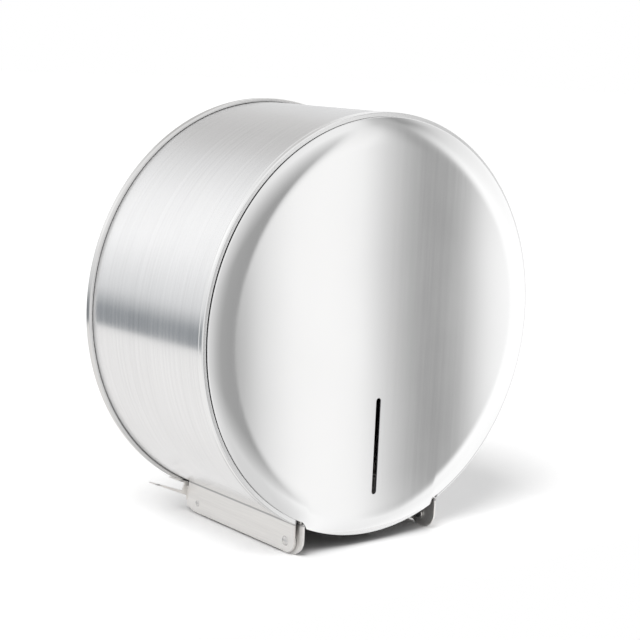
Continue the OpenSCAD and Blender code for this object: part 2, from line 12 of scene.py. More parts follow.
import bmesh
import bpy
import numpy as np
from mathutils import Matrix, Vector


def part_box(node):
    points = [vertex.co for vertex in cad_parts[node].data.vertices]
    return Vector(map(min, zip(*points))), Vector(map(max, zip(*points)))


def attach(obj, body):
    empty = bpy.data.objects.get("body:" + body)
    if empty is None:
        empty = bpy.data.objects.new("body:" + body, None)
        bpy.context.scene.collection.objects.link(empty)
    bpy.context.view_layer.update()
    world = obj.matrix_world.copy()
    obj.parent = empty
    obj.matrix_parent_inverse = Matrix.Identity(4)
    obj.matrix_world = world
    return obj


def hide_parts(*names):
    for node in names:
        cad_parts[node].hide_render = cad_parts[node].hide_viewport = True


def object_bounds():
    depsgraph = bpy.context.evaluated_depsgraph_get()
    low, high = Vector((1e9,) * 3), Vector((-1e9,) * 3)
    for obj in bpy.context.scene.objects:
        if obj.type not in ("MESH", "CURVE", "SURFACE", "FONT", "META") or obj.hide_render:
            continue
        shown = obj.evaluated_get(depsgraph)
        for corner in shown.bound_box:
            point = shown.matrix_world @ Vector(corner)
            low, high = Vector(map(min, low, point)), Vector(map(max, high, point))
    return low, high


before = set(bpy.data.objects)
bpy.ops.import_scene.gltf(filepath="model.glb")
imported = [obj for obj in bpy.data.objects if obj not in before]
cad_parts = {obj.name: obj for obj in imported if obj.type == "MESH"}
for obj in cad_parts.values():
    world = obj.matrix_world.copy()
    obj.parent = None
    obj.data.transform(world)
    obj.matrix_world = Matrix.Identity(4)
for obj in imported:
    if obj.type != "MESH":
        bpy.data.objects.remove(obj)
CAD_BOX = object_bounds()
LOG = logging.getLogger("dispenser")
MM = 0.001
GRAIN_MAP = "grain"
INSIDE_SHADE_MARK = "inside"
INWARD = -0.5  # the outward normal's share below which a turned face is an inner one
NOISE_CORE = (0.35, 0.65)  # most of a noise's values
NOISE_SPAN = (0.3, 0.7)  # nearly all of them
Socket = bpy.types.NodeSocket
Colour = tuple[float, ...]
Triple = tuple[float, float, float]
Range = tuple[float, float]


class Body(Enum):
    """Bodies of the frame that the pieces ride on."""

    CASING = "casing"
    DOOR = "door"
    HUB = "hub"
    LOCK = "lock"


class Slot(Enum):
    """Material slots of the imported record."""

    BRUSHED_SHEET = "brushed_sheet"
    POLISHED = "polished_steel"
    DOOR = "door_steel"
    PLAIN_SHEET = "plain_sheet"
    SCREW = "screw_steel"
    CHROME = "lock_chrome"
    PLASTIC = "hub_plastic"
    RUBBER = "gasket_rubber"


class Pattern(Enum):
    """What a finish's streaks follow: the piece's own grain map, or its place in the frame."""

    GRAIN = "grain"
    PLACE = "place"


def span(node: str) -> tuple[np.ndarray, np.ndarray]:
    """Lower and upper corner of a CAD node's box, in millimetres."""
    low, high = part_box(node)
    return np.array(low) / MM, np.array(high) / MM


# ---- outlines and surfaces


@dataclass(frozen=True)
class Section:
    """A closed outline in a plane with the outward normal at each of its points, in millimetres."""

    points: np.ndarray
    normals: np.ndarray

    @classmethod
    def rounded(cls, corners: list[Triple], steps: int = 5) -> "Section":
        """Rounds each corner of a polygon by its own radius.

        At a corner the two sides' directions differ by the turn. The arc starts at radius times
        tan(turn / 2) before the corner, its centre lies one radius inside, and its normal turns
        evenly from that of the side before to that of the side after.

        Args:
            corners: (first coordinate, second coordinate, radius) of each corner, in order.
            steps: steps in each arc.

        Returns:
            The outline, counter-clockwise.
        """
        c = np.array(corners, float)
        p = c[:, :2]
        area = np.sum(p[:, 0] * np.roll(p[:, 1], -1) - np.roll(p[:, 0], -1) * p[:, 1])
        if area < 0:
            c = c[::-1]
            p = c[:, :2]
        before = p - np.roll(p, 1, axis=0)
        before /= np.linalg.norm(before, axis=1, keepdims=True)
        after = np.roll(before, -1, axis=0)
        cross = before[:, 0] * after[:, 1] - before[:, 1] * after[:, 0]
        turn = np.arctan2(cross, np.sum(before * after, axis=1))
        radius = c[:, 2]
        start = p - before * (radius * np.tan(np.abs(turn) / 2))[:, None]
        normal = np.stack([before[:, 1], -before[:, 0]], axis=1)
        side = np.sign(turn)[:, None]
        centre = start - normal * radius[:, None] * side
        angle = turn[:, None] * np.linspace(0, 1, steps + 1)[None, :]
        cos, sin = np.cos(angle), np.sin(angle)
        nx = normal[:, :1] * cos - normal[:, 1:] * sin
        ny = normal[:, :1] * sin + normal[:, 1:] * cos
        normals = np.stack([nx, ny], axis=2)
        points = centre[:, None, :] + normals * (radius[:, None] * side)[:, :, None]
        return cls(points.reshape(-1, 2), normals.reshape(-1, 2))

    def lengths(self) -> np.ndarray:
        """Distance along the closed outline to each point, and round to the first again."""
        steps = np.linalg.norm(np.roll(self.points, -1, axis=0) - self.points, axis=1)
        return np.concatenate([[0.0], np.cumsum(steps)])


@dataclass
class Surface:
    """A grid of points with their normals, in millimetres.

    Attributes:
        points: grid of places, rows by columns by 3.
        normals: outward normals on the same grid.
        along: grain coordinate of each row, with one more value where the rows close.
        across: grain coordinate of each column, with one more value where the columns close.
        close_rows: whether the last row joins the first.
        close_columns: whether the last column joins the first.
        cap_rows: whether the first and last row are filled with flat faces.
        pole_first: whether the first column is a single point.
        pole_last: whether the last column is a single point.
        inside: how far each point counts as an inner face, which is painted dark as shade, from 0 to 1.
    """

    points: np.ndarray
    normals: np.ndarray
    along: np.ndarray
    across: np.ndarray
    close_rows: bool = False
    close_columns: bool = False
    cap_rows: bool = False
    pole_first: bool = False
    pole_last: bool = False
    inside: np.ndarray | None = None

    def placed(self, turn: np.ndarray, move: np.ndarray) -> "Surface":
        """Turns the surface by a 3 by 3 matrix and then moves it."""
        self.points = self.points @ turn.T + move
        self.normals = self.normals @ turn.T
        return self


class Shape:
    """Solids gathered into one mesh, with a normal and a grain place for each face corner."""

    def __init__(self) -> None:
        """Starts with nothing in it."""
        self.points: list[np.ndarray] = []
        self.faces: list[np.ndarray] = []
        self.normals: list[np.ndarray] = []
        self.grain: list[np.ndarray] = []
        self.inside: list[np.ndarray] = []
        self.count = 0

    def _put(self, faces: np.ndarray, normals: np.ndarray, grain: np.ndarray, inside: np.ndarray) -> None:
        """Adds faces of one size, turned round where they point against their normals."""
        p = np.concatenate(self.points)[faces]
        flat = np.cross(p, np.roll(p, -1, axis=1)).sum(axis=1)
        if np.sum(flat * normals.mean(axis=1)) < 0:
            faces, normals = faces[:, ::-1], normals[:, ::-1]
            grain, inside = grain[:, ::-1], inside[:, ::-1]
        self.faces.append(faces)
        self.normals.append(normals.reshape(-1, 3))
        self.grain.append(grain.reshape(-1, 2))
        self.inside.append(inside.reshape(-1))

    def add(self, s: Surface) -> "Shape":
        """Adds a surface: four-sided faces between neighbours, fans at poles and flat faces at caps.

        Args:
            s: the surface.

        Returns:
            This shape.
        """
        rows, columns = s.points.shape[:2]
        index = np.arange(rows * columns).reshape(rows, columns)
        if s.pole_first:
            index[:, 0] = index[0, 0]
        if s.pole_last:
            index[:, -1] = index[0, -1]
        index = index + self.count
        self.points.append(s.points.reshape(-1, 3))
        self.count += rows * columns
        inside = np.zeros((rows, columns)) if s.inside is None else s.inside
        i = np.arange(rows if s.close_rows else rows - 1)
        j = np.arange(columns if s.close_columns else columns - 1)
        gi, gj = np.meshgrid(i, j, indexing="ij")
        gi, gj = gi.ravel(), gj.ravel()
        ci = np.stack([gi, gi + 1, gi + 1, gi], axis=1)
        cj = np.stack([gj, gj, gj + 1, gj + 1], axis=1)
        wi, wj = ci % rows, cj % columns
        faces, normals = index[wi, wj], s.normals[wi, wj]
        grain = np.stack([s.along[ci], s.across[cj]], axis=2)
        shade_marks = inside[wi, wj]
        fan_first = s.pole_first & (gj == 0)
        fan_last = s.pole_last & (gj == columns - 2)
        plain = ~(fan_first | fan_last)
        for chosen, keep in ((plain, [0, 1, 2, 3]), (fan_first, [0, 2, 3]), (fan_last, [0, 1, 2])):
            if np.any(chosen):
                part = np.ix_(np.flatnonzero(chosen), keep)
                self._put(faces[part], normals[part], grain[part], shade_marks[part])
        if s.cap_rows:
            self._cap(index[0], s.points[0], s.points[1])
            self._cap(index[-1], s.points[-1], s.points[-2])
        return self

    def _cap(self, ring: np.ndarray, at: np.ndarray, behind: np.ndarray) -> None:
        """Fills a ring of points with one flat face that points away from the ring behind it."""
        normal = np.cross(at, np.roll(at, -1, axis=0)).sum(axis=0)
        normal /= np.linalg.norm(normal)
        if normal @ (at.mean(axis=0) - behind.mean(axis=0)) < 0:
            normal = -normal
        size = len(ring)
        drop = int(np.argmax(np.abs(normal)))
        flat = np.delete(at, drop, axis=1)
        self._put(ring[None, :], np.tile(normal, (1, size, 1)), flat[None] * MM, np.zeros((1, size)))

    def mesh(self, name: str) -> bpy.types.Mesh:
        """Makes the mesh, in metres, with its normals, grain map and inside marks for the faces painted
        dark as shade.
        """
        used, faces = np.unique(np.concatenate([f.ravel() for f in self.faces]), return_inverse=True)
        points = np.concatenate(self.points)[used] * MM
        made, at = [], 0
        for part in self.faces:
            made += faces[at : at + part.size].reshape(part.shape).tolist()
            at += part.size
        mesh = bpy.data.meshes.new(name)
        mesh.from_pydata(points.tolist(), [], made)
        grain = mesh.uv_layers.new(name=GRAIN_MAP)
        grain.data.foreach_set("uv", np.concatenate(self.grain).astype(np.float32).ravel())
        shade_marks = mesh.attributes.new(INSIDE_SHADE_MARK, "FLOAT", "CORNER")
        shade_marks.data.foreach_set("value", np.concatenate(self.inside).astype(np.float32))
        mesh.polygons.foreach_set("use_smooth", np.ones(len(mesh.polygons), bool))
        normals = np.concatenate(self.normals)
        normals /= np.linalg.norm(normals, axis=1, keepdims=True)
        mesh.normals_split_custom_set(normals.tolist())
        mesh.update()
        return mesh


def swept(p: np.ndarray, n: np.ndarray, angle: np.ndarray) -> tuple[np.ndarray, np.ndarray]:
    """Turns (radius, y) points and their normals round the Y axis.

    A point at radius r and angle a lies at (r cos a, y, r sin a), and its normal turns with it.

    Args:
        p: the points.
        n: their normals.
        angle: radians, a row for each place round that holds one angle or each point's own.

    Returns:
        Points and normals, rows by points by 3.
    """
    cos, sin = np.cos(angle), np.sin(angle)
    made = [np.stack([v[:, 0] * cos, v[:, 1] + 0 * cos, v[:, 0] * sin], axis=2) for v in (p, n)]
    return made[0], made[1]


def turned(corners: list[Triple], steps: int) -> Surface:
    """Turns a section with rounded (radius, y, rounding) corners round the Y axis into a ring."""
    section = Section.rounded(corners)
    angles = np.radians(np.linspace(0, 360, steps + 1))
    points, normals = swept(section.points, section.normals, angles[:-1, None])
    return Surface(
        points=points,
        normals=normals,
        along=angles * section.points[:, 0].max() * MM,
        across=section.lengths() * MM,
        close_rows=True,
        close_columns=True,
        # faces that point inward are marked to be painted dark as shade
        inside=np.tile(section.normals[:, 0] < INWARD, (steps, 1)).astype(float),
    )


def turned_solid(line: list[Triple], steps: int = 48) -> Surface:
    """Turns an open line that starts and ends on the axis round the Y axis.

    The line is closed along the axis, rounded as a section, and cut open again on the axis.

    Args:
        line: (radius, y, rounding) of the points between the two ends, the ends at radius 0.
        steps: steps in the turn.

    Returns:
        A closed surface with a pole at each end.
    """
    section = Section.rounded(line)
    keep = section.points[:, 0] > 1e-6
    first = int(np.flatnonzero(keep & ~np.roll(keep, 1))[0])
    order = np.roll(np.arange(len(keep)), -first)
    order = order[keep[order]]
    p, n = section.points[order], section.normals[order]
    p = np.concatenate([[[0, p[0, 1]]], p, [[0, p[-1, 1]]]])
    n = np.concatenate([[[0, np.sign(n[0, 1])]], n, [[0, np.sign(n[-1, 1])]]])
    angles = np.radians(np.linspace(0, 360, steps + 1))
    points, normals = swept(p, n, angles[:-1, None])
    run = np.concatenate([[0.0], np.cumsum(np.linalg.norm(np.diff(p, axis=0), axis=1))])
    return Surface(
        points=points,
        normals=normals,
        along=angles * p[:, 0].max() * MM,
        across=run * MM,
        close_rows=True,
        pole_first=True,
        pole_last=True,
    )


def axis_turn(axis: Triple) -> np.ndarray:
    """Matrix that turns -Y, the way that a turned piece faces, to the given direction."""
    y = -np.array(axis, float)
    y /= np.linalg.norm(y)
    other = np.array([0.0, 0.0, 1.0]) if abs(y[2]) < 0.9 else np.array([1.0, 0.0, 0.0])
    x = np.cross(y, other)
    x /= np.linalg.norm(x)
    return np.stack([x, y, np.cross(x, y)], axis=1)


def built(name: str, *surfaces: Surface) -> bpy.types.Mesh:
    """One mesh of one or more solids."""
    shape = Shape()
    for surface in surfaces:
        shape.add(surface)
    return shape.mesh(name)


def lifted(flat: np.ndarray, y: np.ndarray) -> np.ndarray:
    """Points from their (x, z) places and their y."""
    return np.stack([flat[:, :, 0], y, flat[:, :, 1]], axis=2)


# ---- finishes


class Graph:
    """A node tree, with short calls to add and join its nodes."""

    def __init__(self, tree: bpy.types.NodeTree) -> None:
        """Takes the tree to work on."""
        self.tree = tree

    def node(self, kind: str, **settings: object) -> bpy.types.Node:
        """Adds a node of a kind and sets its properties."""
        made = self.tree.nodes.new(kind)
        for name, value in settings.items():
            setattr(made, name, value)
        return made

    def join(self, source: Socket, target: Socket) -> None:
        """Links one socket to another."""
        self.tree.links.new(source, target)

    def remap(self, value: Socket, source: Range, target: Range) -> Socket:
        """Maps a value from one range to another, held at the ends."""
        made = self.node("ShaderNodeMapRange")
        made.inputs["From Min"].default_value, made.inputs["From Max"].default_value = source
        made.inputs["To Min"].default_value, made.inputs["To Max"].default_value = target
        self.join(value, made.inputs["Value"])
        return made.outputs["Result"]

    def maths(self, operation: str, first: Socket | float, second: Socket | float = 0.0) -> Socket:
        """A Math node on two sockets or numbers."""
        made = self.node("ShaderNodeMath", operation=operation)
        for target, value in zip(made.inputs, (first, second)):
            if isinstance(value, (int, float)):
                target.default_value = value
            else:
                self.join(value, target)
        return made.outputs[0]

    def blend(self, factor: Socket, low: Socket | Colour, high: Socket | Colour) -> Socket:
        """Mixes two colours by a factor."""
        made = self.node("ShaderNodeMix", data_type="RGBA")
        for target, value in zip([s for s in made.inputs if s.type == "RGBA"], (low, high)):
            if isinstance(value, tuple):
                target.default_value = (*value, 1.0)
            else:
                self.join(value, target)
        self.join(factor, made.inputs["Factor"])
        return next(o for o in made.outputs if o.type == "RGBA")

    def split(self, vector: Socket) -> tuple[Socket, ...]:
        """The three coordinates of a vector."""
        made = self.node("ShaderNodeSeparateXYZ")
        self.join(vector, made.inputs[0])
        return tuple(made.outputs)

    def rays(self) -> tuple[Socket, Socket]:
        """Whether the camera looks straight at it, and whether it is seen in or through gloss."""
        path = self.node("ShaderNodeLightPath").outputs
        gloss = self.maths("MAXIMUM", path["Is Glossy Ray"], path["Is Transmission Ray"])
        return path["Is Camera Ray"], gloss


class Shader(Graph):
    """A material's nodes round a Principled shader."""

    def __init__(self, name: str) -> None:
        """Starts a material that has a Principled shader and its output."""
        self.material = bpy.data.materials.new(name)
        self.material.use_nodes = True
        super().__init__(self.material.node_tree)
        self.shader = self.tree.nodes["Principled BSDF"]

    def place(self, pattern: Pattern) -> Socket:
        """The coordinates that a pattern follows."""
        if pattern is Pattern.GRAIN:
            return self.node("ShaderNodeUVMap", uv_map=GRAIN_MAP).outputs["UV"]
        return self.node("ShaderNodeTexCoord").outputs["Object"]

    def noise(self, source: Socket, lengths: Triple, detail: float = 3.0) -> Socket:
        """Noise whose features have the given lengths along the three coordinates.

        Args:
            source: the coordinates.
            lengths: feature lengths in metres.
            detail: octaves of finer noise.

        Returns:
            The noise's value, about 0.5 on average.
        """
        mapping = self.node("ShaderNodeMapping")
        mapping.inputs["Scale"].default_value = [1 / x for x in lengths]
        self.join(source, mapping.inputs["Vector"])
        made = self.node("ShaderNodeTexNoise")
        made.inputs["Scale"].default_value = 1.0
        made.inputs["Detail"].default_value = detail
        self.join(mapping.outputs["Vector"], made.inputs["Vector"])
        return made.outputs["Fac"]

    def put(self, socket: str, value: Socket | float | Colour) -> None:
        """Sets or joins one of the shader's sockets."""
        target = self.shader.inputs[socket]
        if isinstance(value, Socket):
            self.join(value, target)
        else:
            target.default_value = value

    def bump(self, height: Socket, depth: float, strength: float) -> None:
        """Raises the surface by a height from 0 to 1 times a depth in metres."""
        made = self.node("ShaderNodeBump")
        made.inputs["Strength"].default_value = strength
        made.inputs["Distance"].default_value = depth
        self.join(height, made.inputs["Height"])
        self.join(made.outputs["Normal"], self.shader.inputs["Normal"])


def scaled(colour: Colour, by: float) -> Colour:
    """A colour made lighter or darker."""
    return tuple(c * by for c in colour)


@dataclass(frozen=True)
class BrushedSteel:
    """Stainless sheet with a directional brushed grain.

    Attributes:
        name: the material's name.
        colour: colour of the bare steel.
        inner: colour of its inner faces, painted darker than the bare steel as shade.
        roughness: roughness along the grain.
        pattern: what the grain follows.
        streak: lengths of the fine streaks along the three coordinates, in metres.
        contrast: how much the streaks lighten and darken the steel.
        anisotropy: how much rougher the steel is across its grain.
        seam_w: width of a dark line painted as shade along a level seam, in metres.
        seam_z: height of that seam, in metres, or 0 where there is none.
        seam_shade: how much of the inner colour is painted on the seam as shade.
        broad: how much longer and wider the broad streaks are than the fine ones.
        fine_share: share of the fine streaks in the grain.
    """

    name: str
    colour: Colour
    inner: Colour
    roughness: float
    pattern: Pattern
    streak: Triple
    contrast: float = 0.04
    anisotropy: float = 0.0
    bump_depth: float = 4e-6
    inner_roughness: float = 0.42
    smudge_length: float = 0.035
    seam_w: float = 0.0009
    seam_z: float = 0.0
    seam_shade: float = 0.7
    broad: float = 7.0
    fine_share: float = 0.55

    def material(self) -> bpy.types.Material:
        """Streaks at two widths, soft smudges in the gloss, inner faces painted dark as shade and made
        rougher, and a seam line painted dark as shade.
        """
        s = Shader(self.name)
        place = s.place(self.pattern)
        fine = s.noise(place, self.streak, 4.0)
        broad = s.noise(place, scaled(self.streak, self.broad), 2.0)
        body = s.place(Pattern.PLACE)
        smudge = s.noise(body, (self.smudge_length,) * 3, 3.0)
        streaks = s.maths("MULTIPLY_ADD", fine, self.fine_share)
        s.join(s.maths("MULTIPLY", broad, 1 - self.fine_share), streaks.node.inputs[2])
        tint = s.blend(
            s.remap(streaks, NOISE_CORE, (0, 1)),
            scaled(self.colour, 1 - self.contrast),
            scaled(self.colour, 1 + self.contrast),
        )
        # painted shade: a dark line along the level seam where the drum wall meets the cheeks
        if self.seam_z:
            off_seam = s.maths("SUBTRACT", s.split(body)[2], self.seam_z - self.seam_w / 2)
            reach = (self.seam_w / 3, self.seam_w)
            seam_shading = s.remap(s.maths("ABSOLUTE", off_seam), reach, (self.seam_shade, 0))
            tint = s.blend(seam_shading, tint, self.inner)
        # faces marked as inside get the inner colour as painted shade, and a rougher gloss below
        shade_mark = s.node("ShaderNodeAttribute", attribute_name=INSIDE_SHADE_MARK).outputs["Fac"]
        s.put("Base Color", s.blend(shade_mark, tint, self.inner))
        gloss = s.remap(streaks, NOISE_SPAN, (self.roughness * 0.85, self.roughness * 1.15))
        worn = s.maths("MULTIPLY", gloss, s.remap(smudge, (0.35, 0.7), (0.92, 1.12)))
        dull_and_shaded = s.node("ShaderNodeMix", data_type="FLOAT")
        s.join(shade_mark, dull_and_shaded.inputs["Factor"])
        s.join(worn, dull_and_shaded.inputs["A"])
        dull_and_shaded.inputs["B"].default_value = self.inner_roughness
        s.put("Roughness", dull_and_shaded.outputs["Result"])
        s.put("Metallic", 1.0)
        if self.anisotropy:
            s.put("Anisotropic", self.anisotropy)
            s.put("Anisotropic Rotation", 0.25)
            tangent = s.node("ShaderNodeTangent", direction_type="UV_MAP", uv_map=GRAIN_MAP)
            s.join(tangent.outputs["Tangent"], s.shader.inputs["Tangent"])
        if self.bump_depth:
            s.bump(fine, self.bump_depth, 0.5)
        return s.material


@dataclass(frozen=True)
class Moulded:
    """A moulded plastic or rubber with a fine texture and a little wear."""

    name: str
    colour: Colour
    roughness: float
    texture: float = 0.0008
    bump_depth: float = 2e-5

    def material(self) -> bpy.types.Material:
        """Fine pebbled bump, cloudy colour and scuffs in the gloss."""
        s = Shader(self.name)
        place = s.place(Pattern.PLACE)
        pebble = s.noise(place, (self.texture,) * 3, 2.0)
        cloud = s.noise(place, (0.02, 0.02, 0.02), 4.0)
        s.put("Base Color", s.blend(cloud, scaled(self.colour, 0.85), scaled(self.colour, 1.2)))
        s.put("Roughness", s.remap(cloud, NOISE_SPAN, (self.roughness - 0.06, self.roughness + 0.08)))
        s.bump(pebble, self.bump_depth, 0.35)
        return s.material


@dataclass(frozen=True)
class Finishes:
    """Every finish on the dispenser, each made once."""

    wall: bpy.types.Material
    door: bpy.types.Material
    rim: bpy.types.Material
    bead: bpy.types.Material
    sheet: bpy.types.Material
    screw: bpy.types.Material
    chrome: bpy.types.Material
    post: bpy.types.Material
    plastic: bpy.types.Material
    rubber: bpy.types.Material

    @classmethod
    def make(cls) -> "Finishes":
        """Makes the materials."""
        # painted shade: the dark colour that inner faces get in the steel finishes
        dull_and_shaded = (0.30, 0.30, 0.31)
        finishes = dict(
            wall=BrushedSteel(
                "brushed_wall", (0.86, 0.86, 0.865), dull_and_shaded, 0.21, Pattern.GRAIN,
                (0.05, 0.00035, 1.0), contrast=0.05, anisotropy=0.85,
            ),
            door=BrushedSteel(
                "satin_door", (0.90, 0.90, 0.90), dull_and_shaded, 0.07, Pattern.PLACE,
                (0.0004, 0.06, 0.06), contrast=0.006, bump_depth=0.0, smudge_length=0.05,
            ),
            rim=BrushedSteel(
                "bright_rim", (0.90, 0.90, 0.90), dull_and_shaded, 0.16, Pattern.GRAIN,
                (0.03, 0.0003, 1.0), contrast=0.03,
            ),
            bead=BrushedSteel(
                "rolled_edge", (0.77, 0.765, 0.76), dull_and_shaded, 0.13, Pattern.PLACE,
                (0.012, 0.0004, 0.012), contrast=0.05,
            ),
            # the mill sheet gets a dark line painted as shade along the drum wall's lower edge
            sheet=BrushedSteel(
                "mill_sheet", (0.91, 0.893, 0.872), dull_and_shaded, 0.45, Pattern.PLACE,
                (0.02, 0.02, 0.0005), contrast=0.05, seam_z=span("drum_wall")[0][2] * MM,
            ),
            screw=BrushedSteel(
                "turned_screw", (0.68, 0.67, 0.66), dull_and_shaded, 0.24, Pattern.PLACE,
                (0.002, 0.002, 0.002), contrast=0.05,
            ),
            chrome=BrushedSteel(
                # the lock's inner grey is painted shade on its inner faces
                "plated_lock", (0.85, 0.86, 0.87), (0.4, 0.4, 0.4), 0.07, Pattern.PLACE,
                (0.003, 0.003, 0.003), contrast=0.02, bump_depth=5e-7,
            ),
            post=BrushedSteel(
                "turned_post", (0.80, 0.80, 0.80), dull_and_shaded, 0.2, Pattern.GRAIN,
                (0.02, 0.0003, 1.0), contrast=0.04, anisotropy=0.4,
            ),
            plastic=Moulded("hub_plastic", (0.045, 0.047, 0.05), 0.42),
            rubber=Moulded("gasket_rubber", (0.012, 0.012, 0.012), 0.7, 0.0005),
        )
        return cls(**{name: finish.material() for name, finish in finishes.items()})


def settle(
    mesh: bpy.types.Mesh, body: Body, slot: Slot, finish: bpy.types.Material, *replaced: str
) -> bpy.types.Object:
    """Links a mesh as a piece, dresses it, sets what it rides on, and hides the CAD nodes that it stands
    for.

    Args:
        mesh: the mesh, in place, in metres, with the piece's name.
        body: the body it rides on.
        slot: the record's material slot; not used.
        finish: its material.
        replaced: CAD nodes that it stands for.

    Returns:
        The piece.
    """
    piece = bpy.data.objects.new(mesh.name, mesh)
    bpy.context.scene.collection.objects.link(piece)
    mesh.materials.clear()
    mesh.materials.append(finish)
    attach(piece, body.value)
    if replaced:
        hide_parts(*replaced)
    LOG.info("piece %s on %s, %d faces", mesh.name, body.value, len(mesh.polygons))
    return piece


@dataclass(frozen=True)
class SheetPiece:
    """A formed sheet piece, taken from its node with its edges broken.

    Attributes:
        node: the CAD node.
        body: the body it rides on.
        edge: width of the broken edge, in millimetres.
        slot: the record's material slot.
        flat_within: degrees up to which neighbouring triangles are one face.
        smooth_within: degrees up to which neighbouring faces are shaded as one.
        broken_from: degrees from which an edge is broken.
    """

    node: str
    body: Body = Body.CASING
    edge: float = 0.18
    slot: Slot = Slot.PLAIN_SHEET
    flat_within: float = 0.4
    smooth_within: float = 28.0
    broken_from: float = 40.0

    def dress(self, finish: bpy.types.Material) -> bpy.types.Object:
        """Merges the node's triangles into clean faces, breaks the edges and smooths the rounds."""
        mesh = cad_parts[self.node].data.copy()
        mesh.name = self.node + "_sheet"
        work = bmesh.new()
        work.from_mesh(mesh)
        bmesh.ops.remove_doubles(work, verts=work.verts, dist=1e-6)
        flat = math.radians(self.flat_within)
        bmesh.ops.dissolve_limit(work, angle_limit=flat, verts=work.verts, edges=work.edges)
        work.to_mesh(mesh)
        work.free()
        mesh.polygons.foreach_set("use_smooth", np.ones(len(mesh.polygons), bool))
        mesh.set_sharp_from_angle(angle=math.radians(self.smooth_within))
        piece = settle(mesh, self.body, self.slot, finish, self.node)
        if self.edge:
            bevel = piece.modifiers.new("broken edge", "BEVEL")
            bevel.width, bevel.segments = self.edge * MM, 2
            bevel.limit_method, bevel.angle_limit = "ANGLE", math.radians(self.broken_from)
            bevel.harden_normals = True
        even = piece.modifiers.new("even shading", "WEIGHTED_NORMAL")
        even.keep_sharp = True
        return piece


# ---- sub-assemblies


@dataclass
class Casing:
    """The drum that hangs on the wall: wall, rims, back plate, cheeks, tear bar and fork."""

    drum_t: float = 1.0
    cheek_t: float = 1.0
    rim_nose_t: float = 3.5
    rim_round: float = 0.9
    bead_w: float = 0.8
    bead_h: float = 0.3
    bead_fall: float = 0.3
    bead_round: float = 0.25
    nose_round: float = 0.5
    nose_in: float = 0.1
    seam_w: float = 1.1
    rim_flange_t: float = 1.2
    rim_flange_w: float = 6.0
    seat_gap: float = 0.05
    edge: float = 0.15
    steps: int = 360
    sheets: tuple[str, ...] = (
        "back_plate", "cheek_left", "cheek_right", "wall_brackets", "tear_bar", "cheek_fork",
    )

    def __post_init__(self) -> None:
        """Reads the drum wall's and the rim's places from the frame."""
        low, high = span("drum_wall")
        self.drum_r, self.wall_front_y, self.wall_rear_y = high[2], low[1], high[1]
        self.cheek_x = span("pivot_washers")[1][0] + self.cheek_t
        low, high = span("front_rim")
        self.rim_r, self.rim_front_y = high[2], low[1]

    def open_turn(self, section: Section) -> Surface:
        """Turns a section over the top and ends it on the two upright planes of the outlet.

        At radius r the planes x = cheek_x and x = -cheek_x lie at -acos(cheek_x / r) and at
        180 degrees plus the same angle, so each radius runs evenly between its own two ends. The
        last strip at each end counts as an inner face, so the seam there is painted dark as shade.
        """
        r = section.points[:, 0]
        low = np.arccos(self.cheek_x / r)
        end = self.seam_w / (4 * self.drum_r)
        share = np.concatenate([[0.0], np.linspace(end, 1 - end, self.steps + 1), [1.0]])[:, None]
        angle = -low[None, :] + share * (math.pi + 2 * low)[None, :]
        points, normals = swept(section.points, section.normals, angle)
        return Surface(
            points=points,
            normals=normals,
            along=share[:, 0] * (math.pi + 2 * low.max()) * self.drum_r * MM,
            across=section.lengths() * MM,
            close_columns=True,
            cap_rows=True,
            inside=((section.normals[:, 0] < INWARD) | (share <= 0) | (share >= 1)).astype(float),
        )

    def wall(self) -> Surface:
        """The drum's wall, a thin ring of sheet that is open at the bottom."""
        inner = self.drum_r - self.drum_t
        return self.open_turn(Section.rounded([
            (self.drum_r, self.wall_rear_y, self.edge),
            (inner, self.wall_rear_y, self.edge),
            (inner, self.wall_front_y, self.edge),
            (self.drum_r, self.wall_front_y, self.edge),
        ]))

    def rim(self) -> Surface:
        """The front rim: a band between two fine beads, with a flange inside the drum's wall."""
        outer, front, rear = self.rim_r, self.rim_front_y, self.wall_front_y
        flange = self.drum_r - self.drum_t - self.seat_gap
        nose_y = front + self.rim_nose_t
        inner, band, nose = outer - self.rim_nose_t, outer - self.bead_h, outer - self.nose_in
        bead, fall, e, b = self.bead_w, self.bead_fall, self.edge, self.bead_round
        return self.open_turn(Section.rounded([
            (inner, front, self.nose_round), (nose, front, self.rim_round),
            (nose, front + bead + fall, b), (band, front + bead + 2 * fall, b),
            (band, rear - bead - fall, b), (outer, rear - bead, b), (outer, rear, b),
            (flange, rear, e), (flange, rear + self.rim_flange_w, e),
            (flange - self.rim_flange_t, rear + self.rim_flange_w, e),
            (flange - self.rim_flange_t, nose_y, e), (inner, nose_y, e),
        ], steps=8))

    def dress(self, f: Finishes) -> None:
        """Builds and dresses the casing's pieces."""
        settle(built("drum_shell", self.wall()), Body.CASING, Slot.BRUSHED_SHEET, f.wall, "drum_wall")
        settle(built("front_bead", self.rim()), Body.CASING, Slot.POLISHED, f.rim, "front_rim")
        for node in self.sheets:
            plate = node == "back_plate"
            slot = Slot.BRUSHED_SHEET if plate else Slot.PLAIN_SHEET
            SheetPiece(node, edge=0 if plate else 0.18, slot=slot).dress(f.bead if plate else f.sheet)


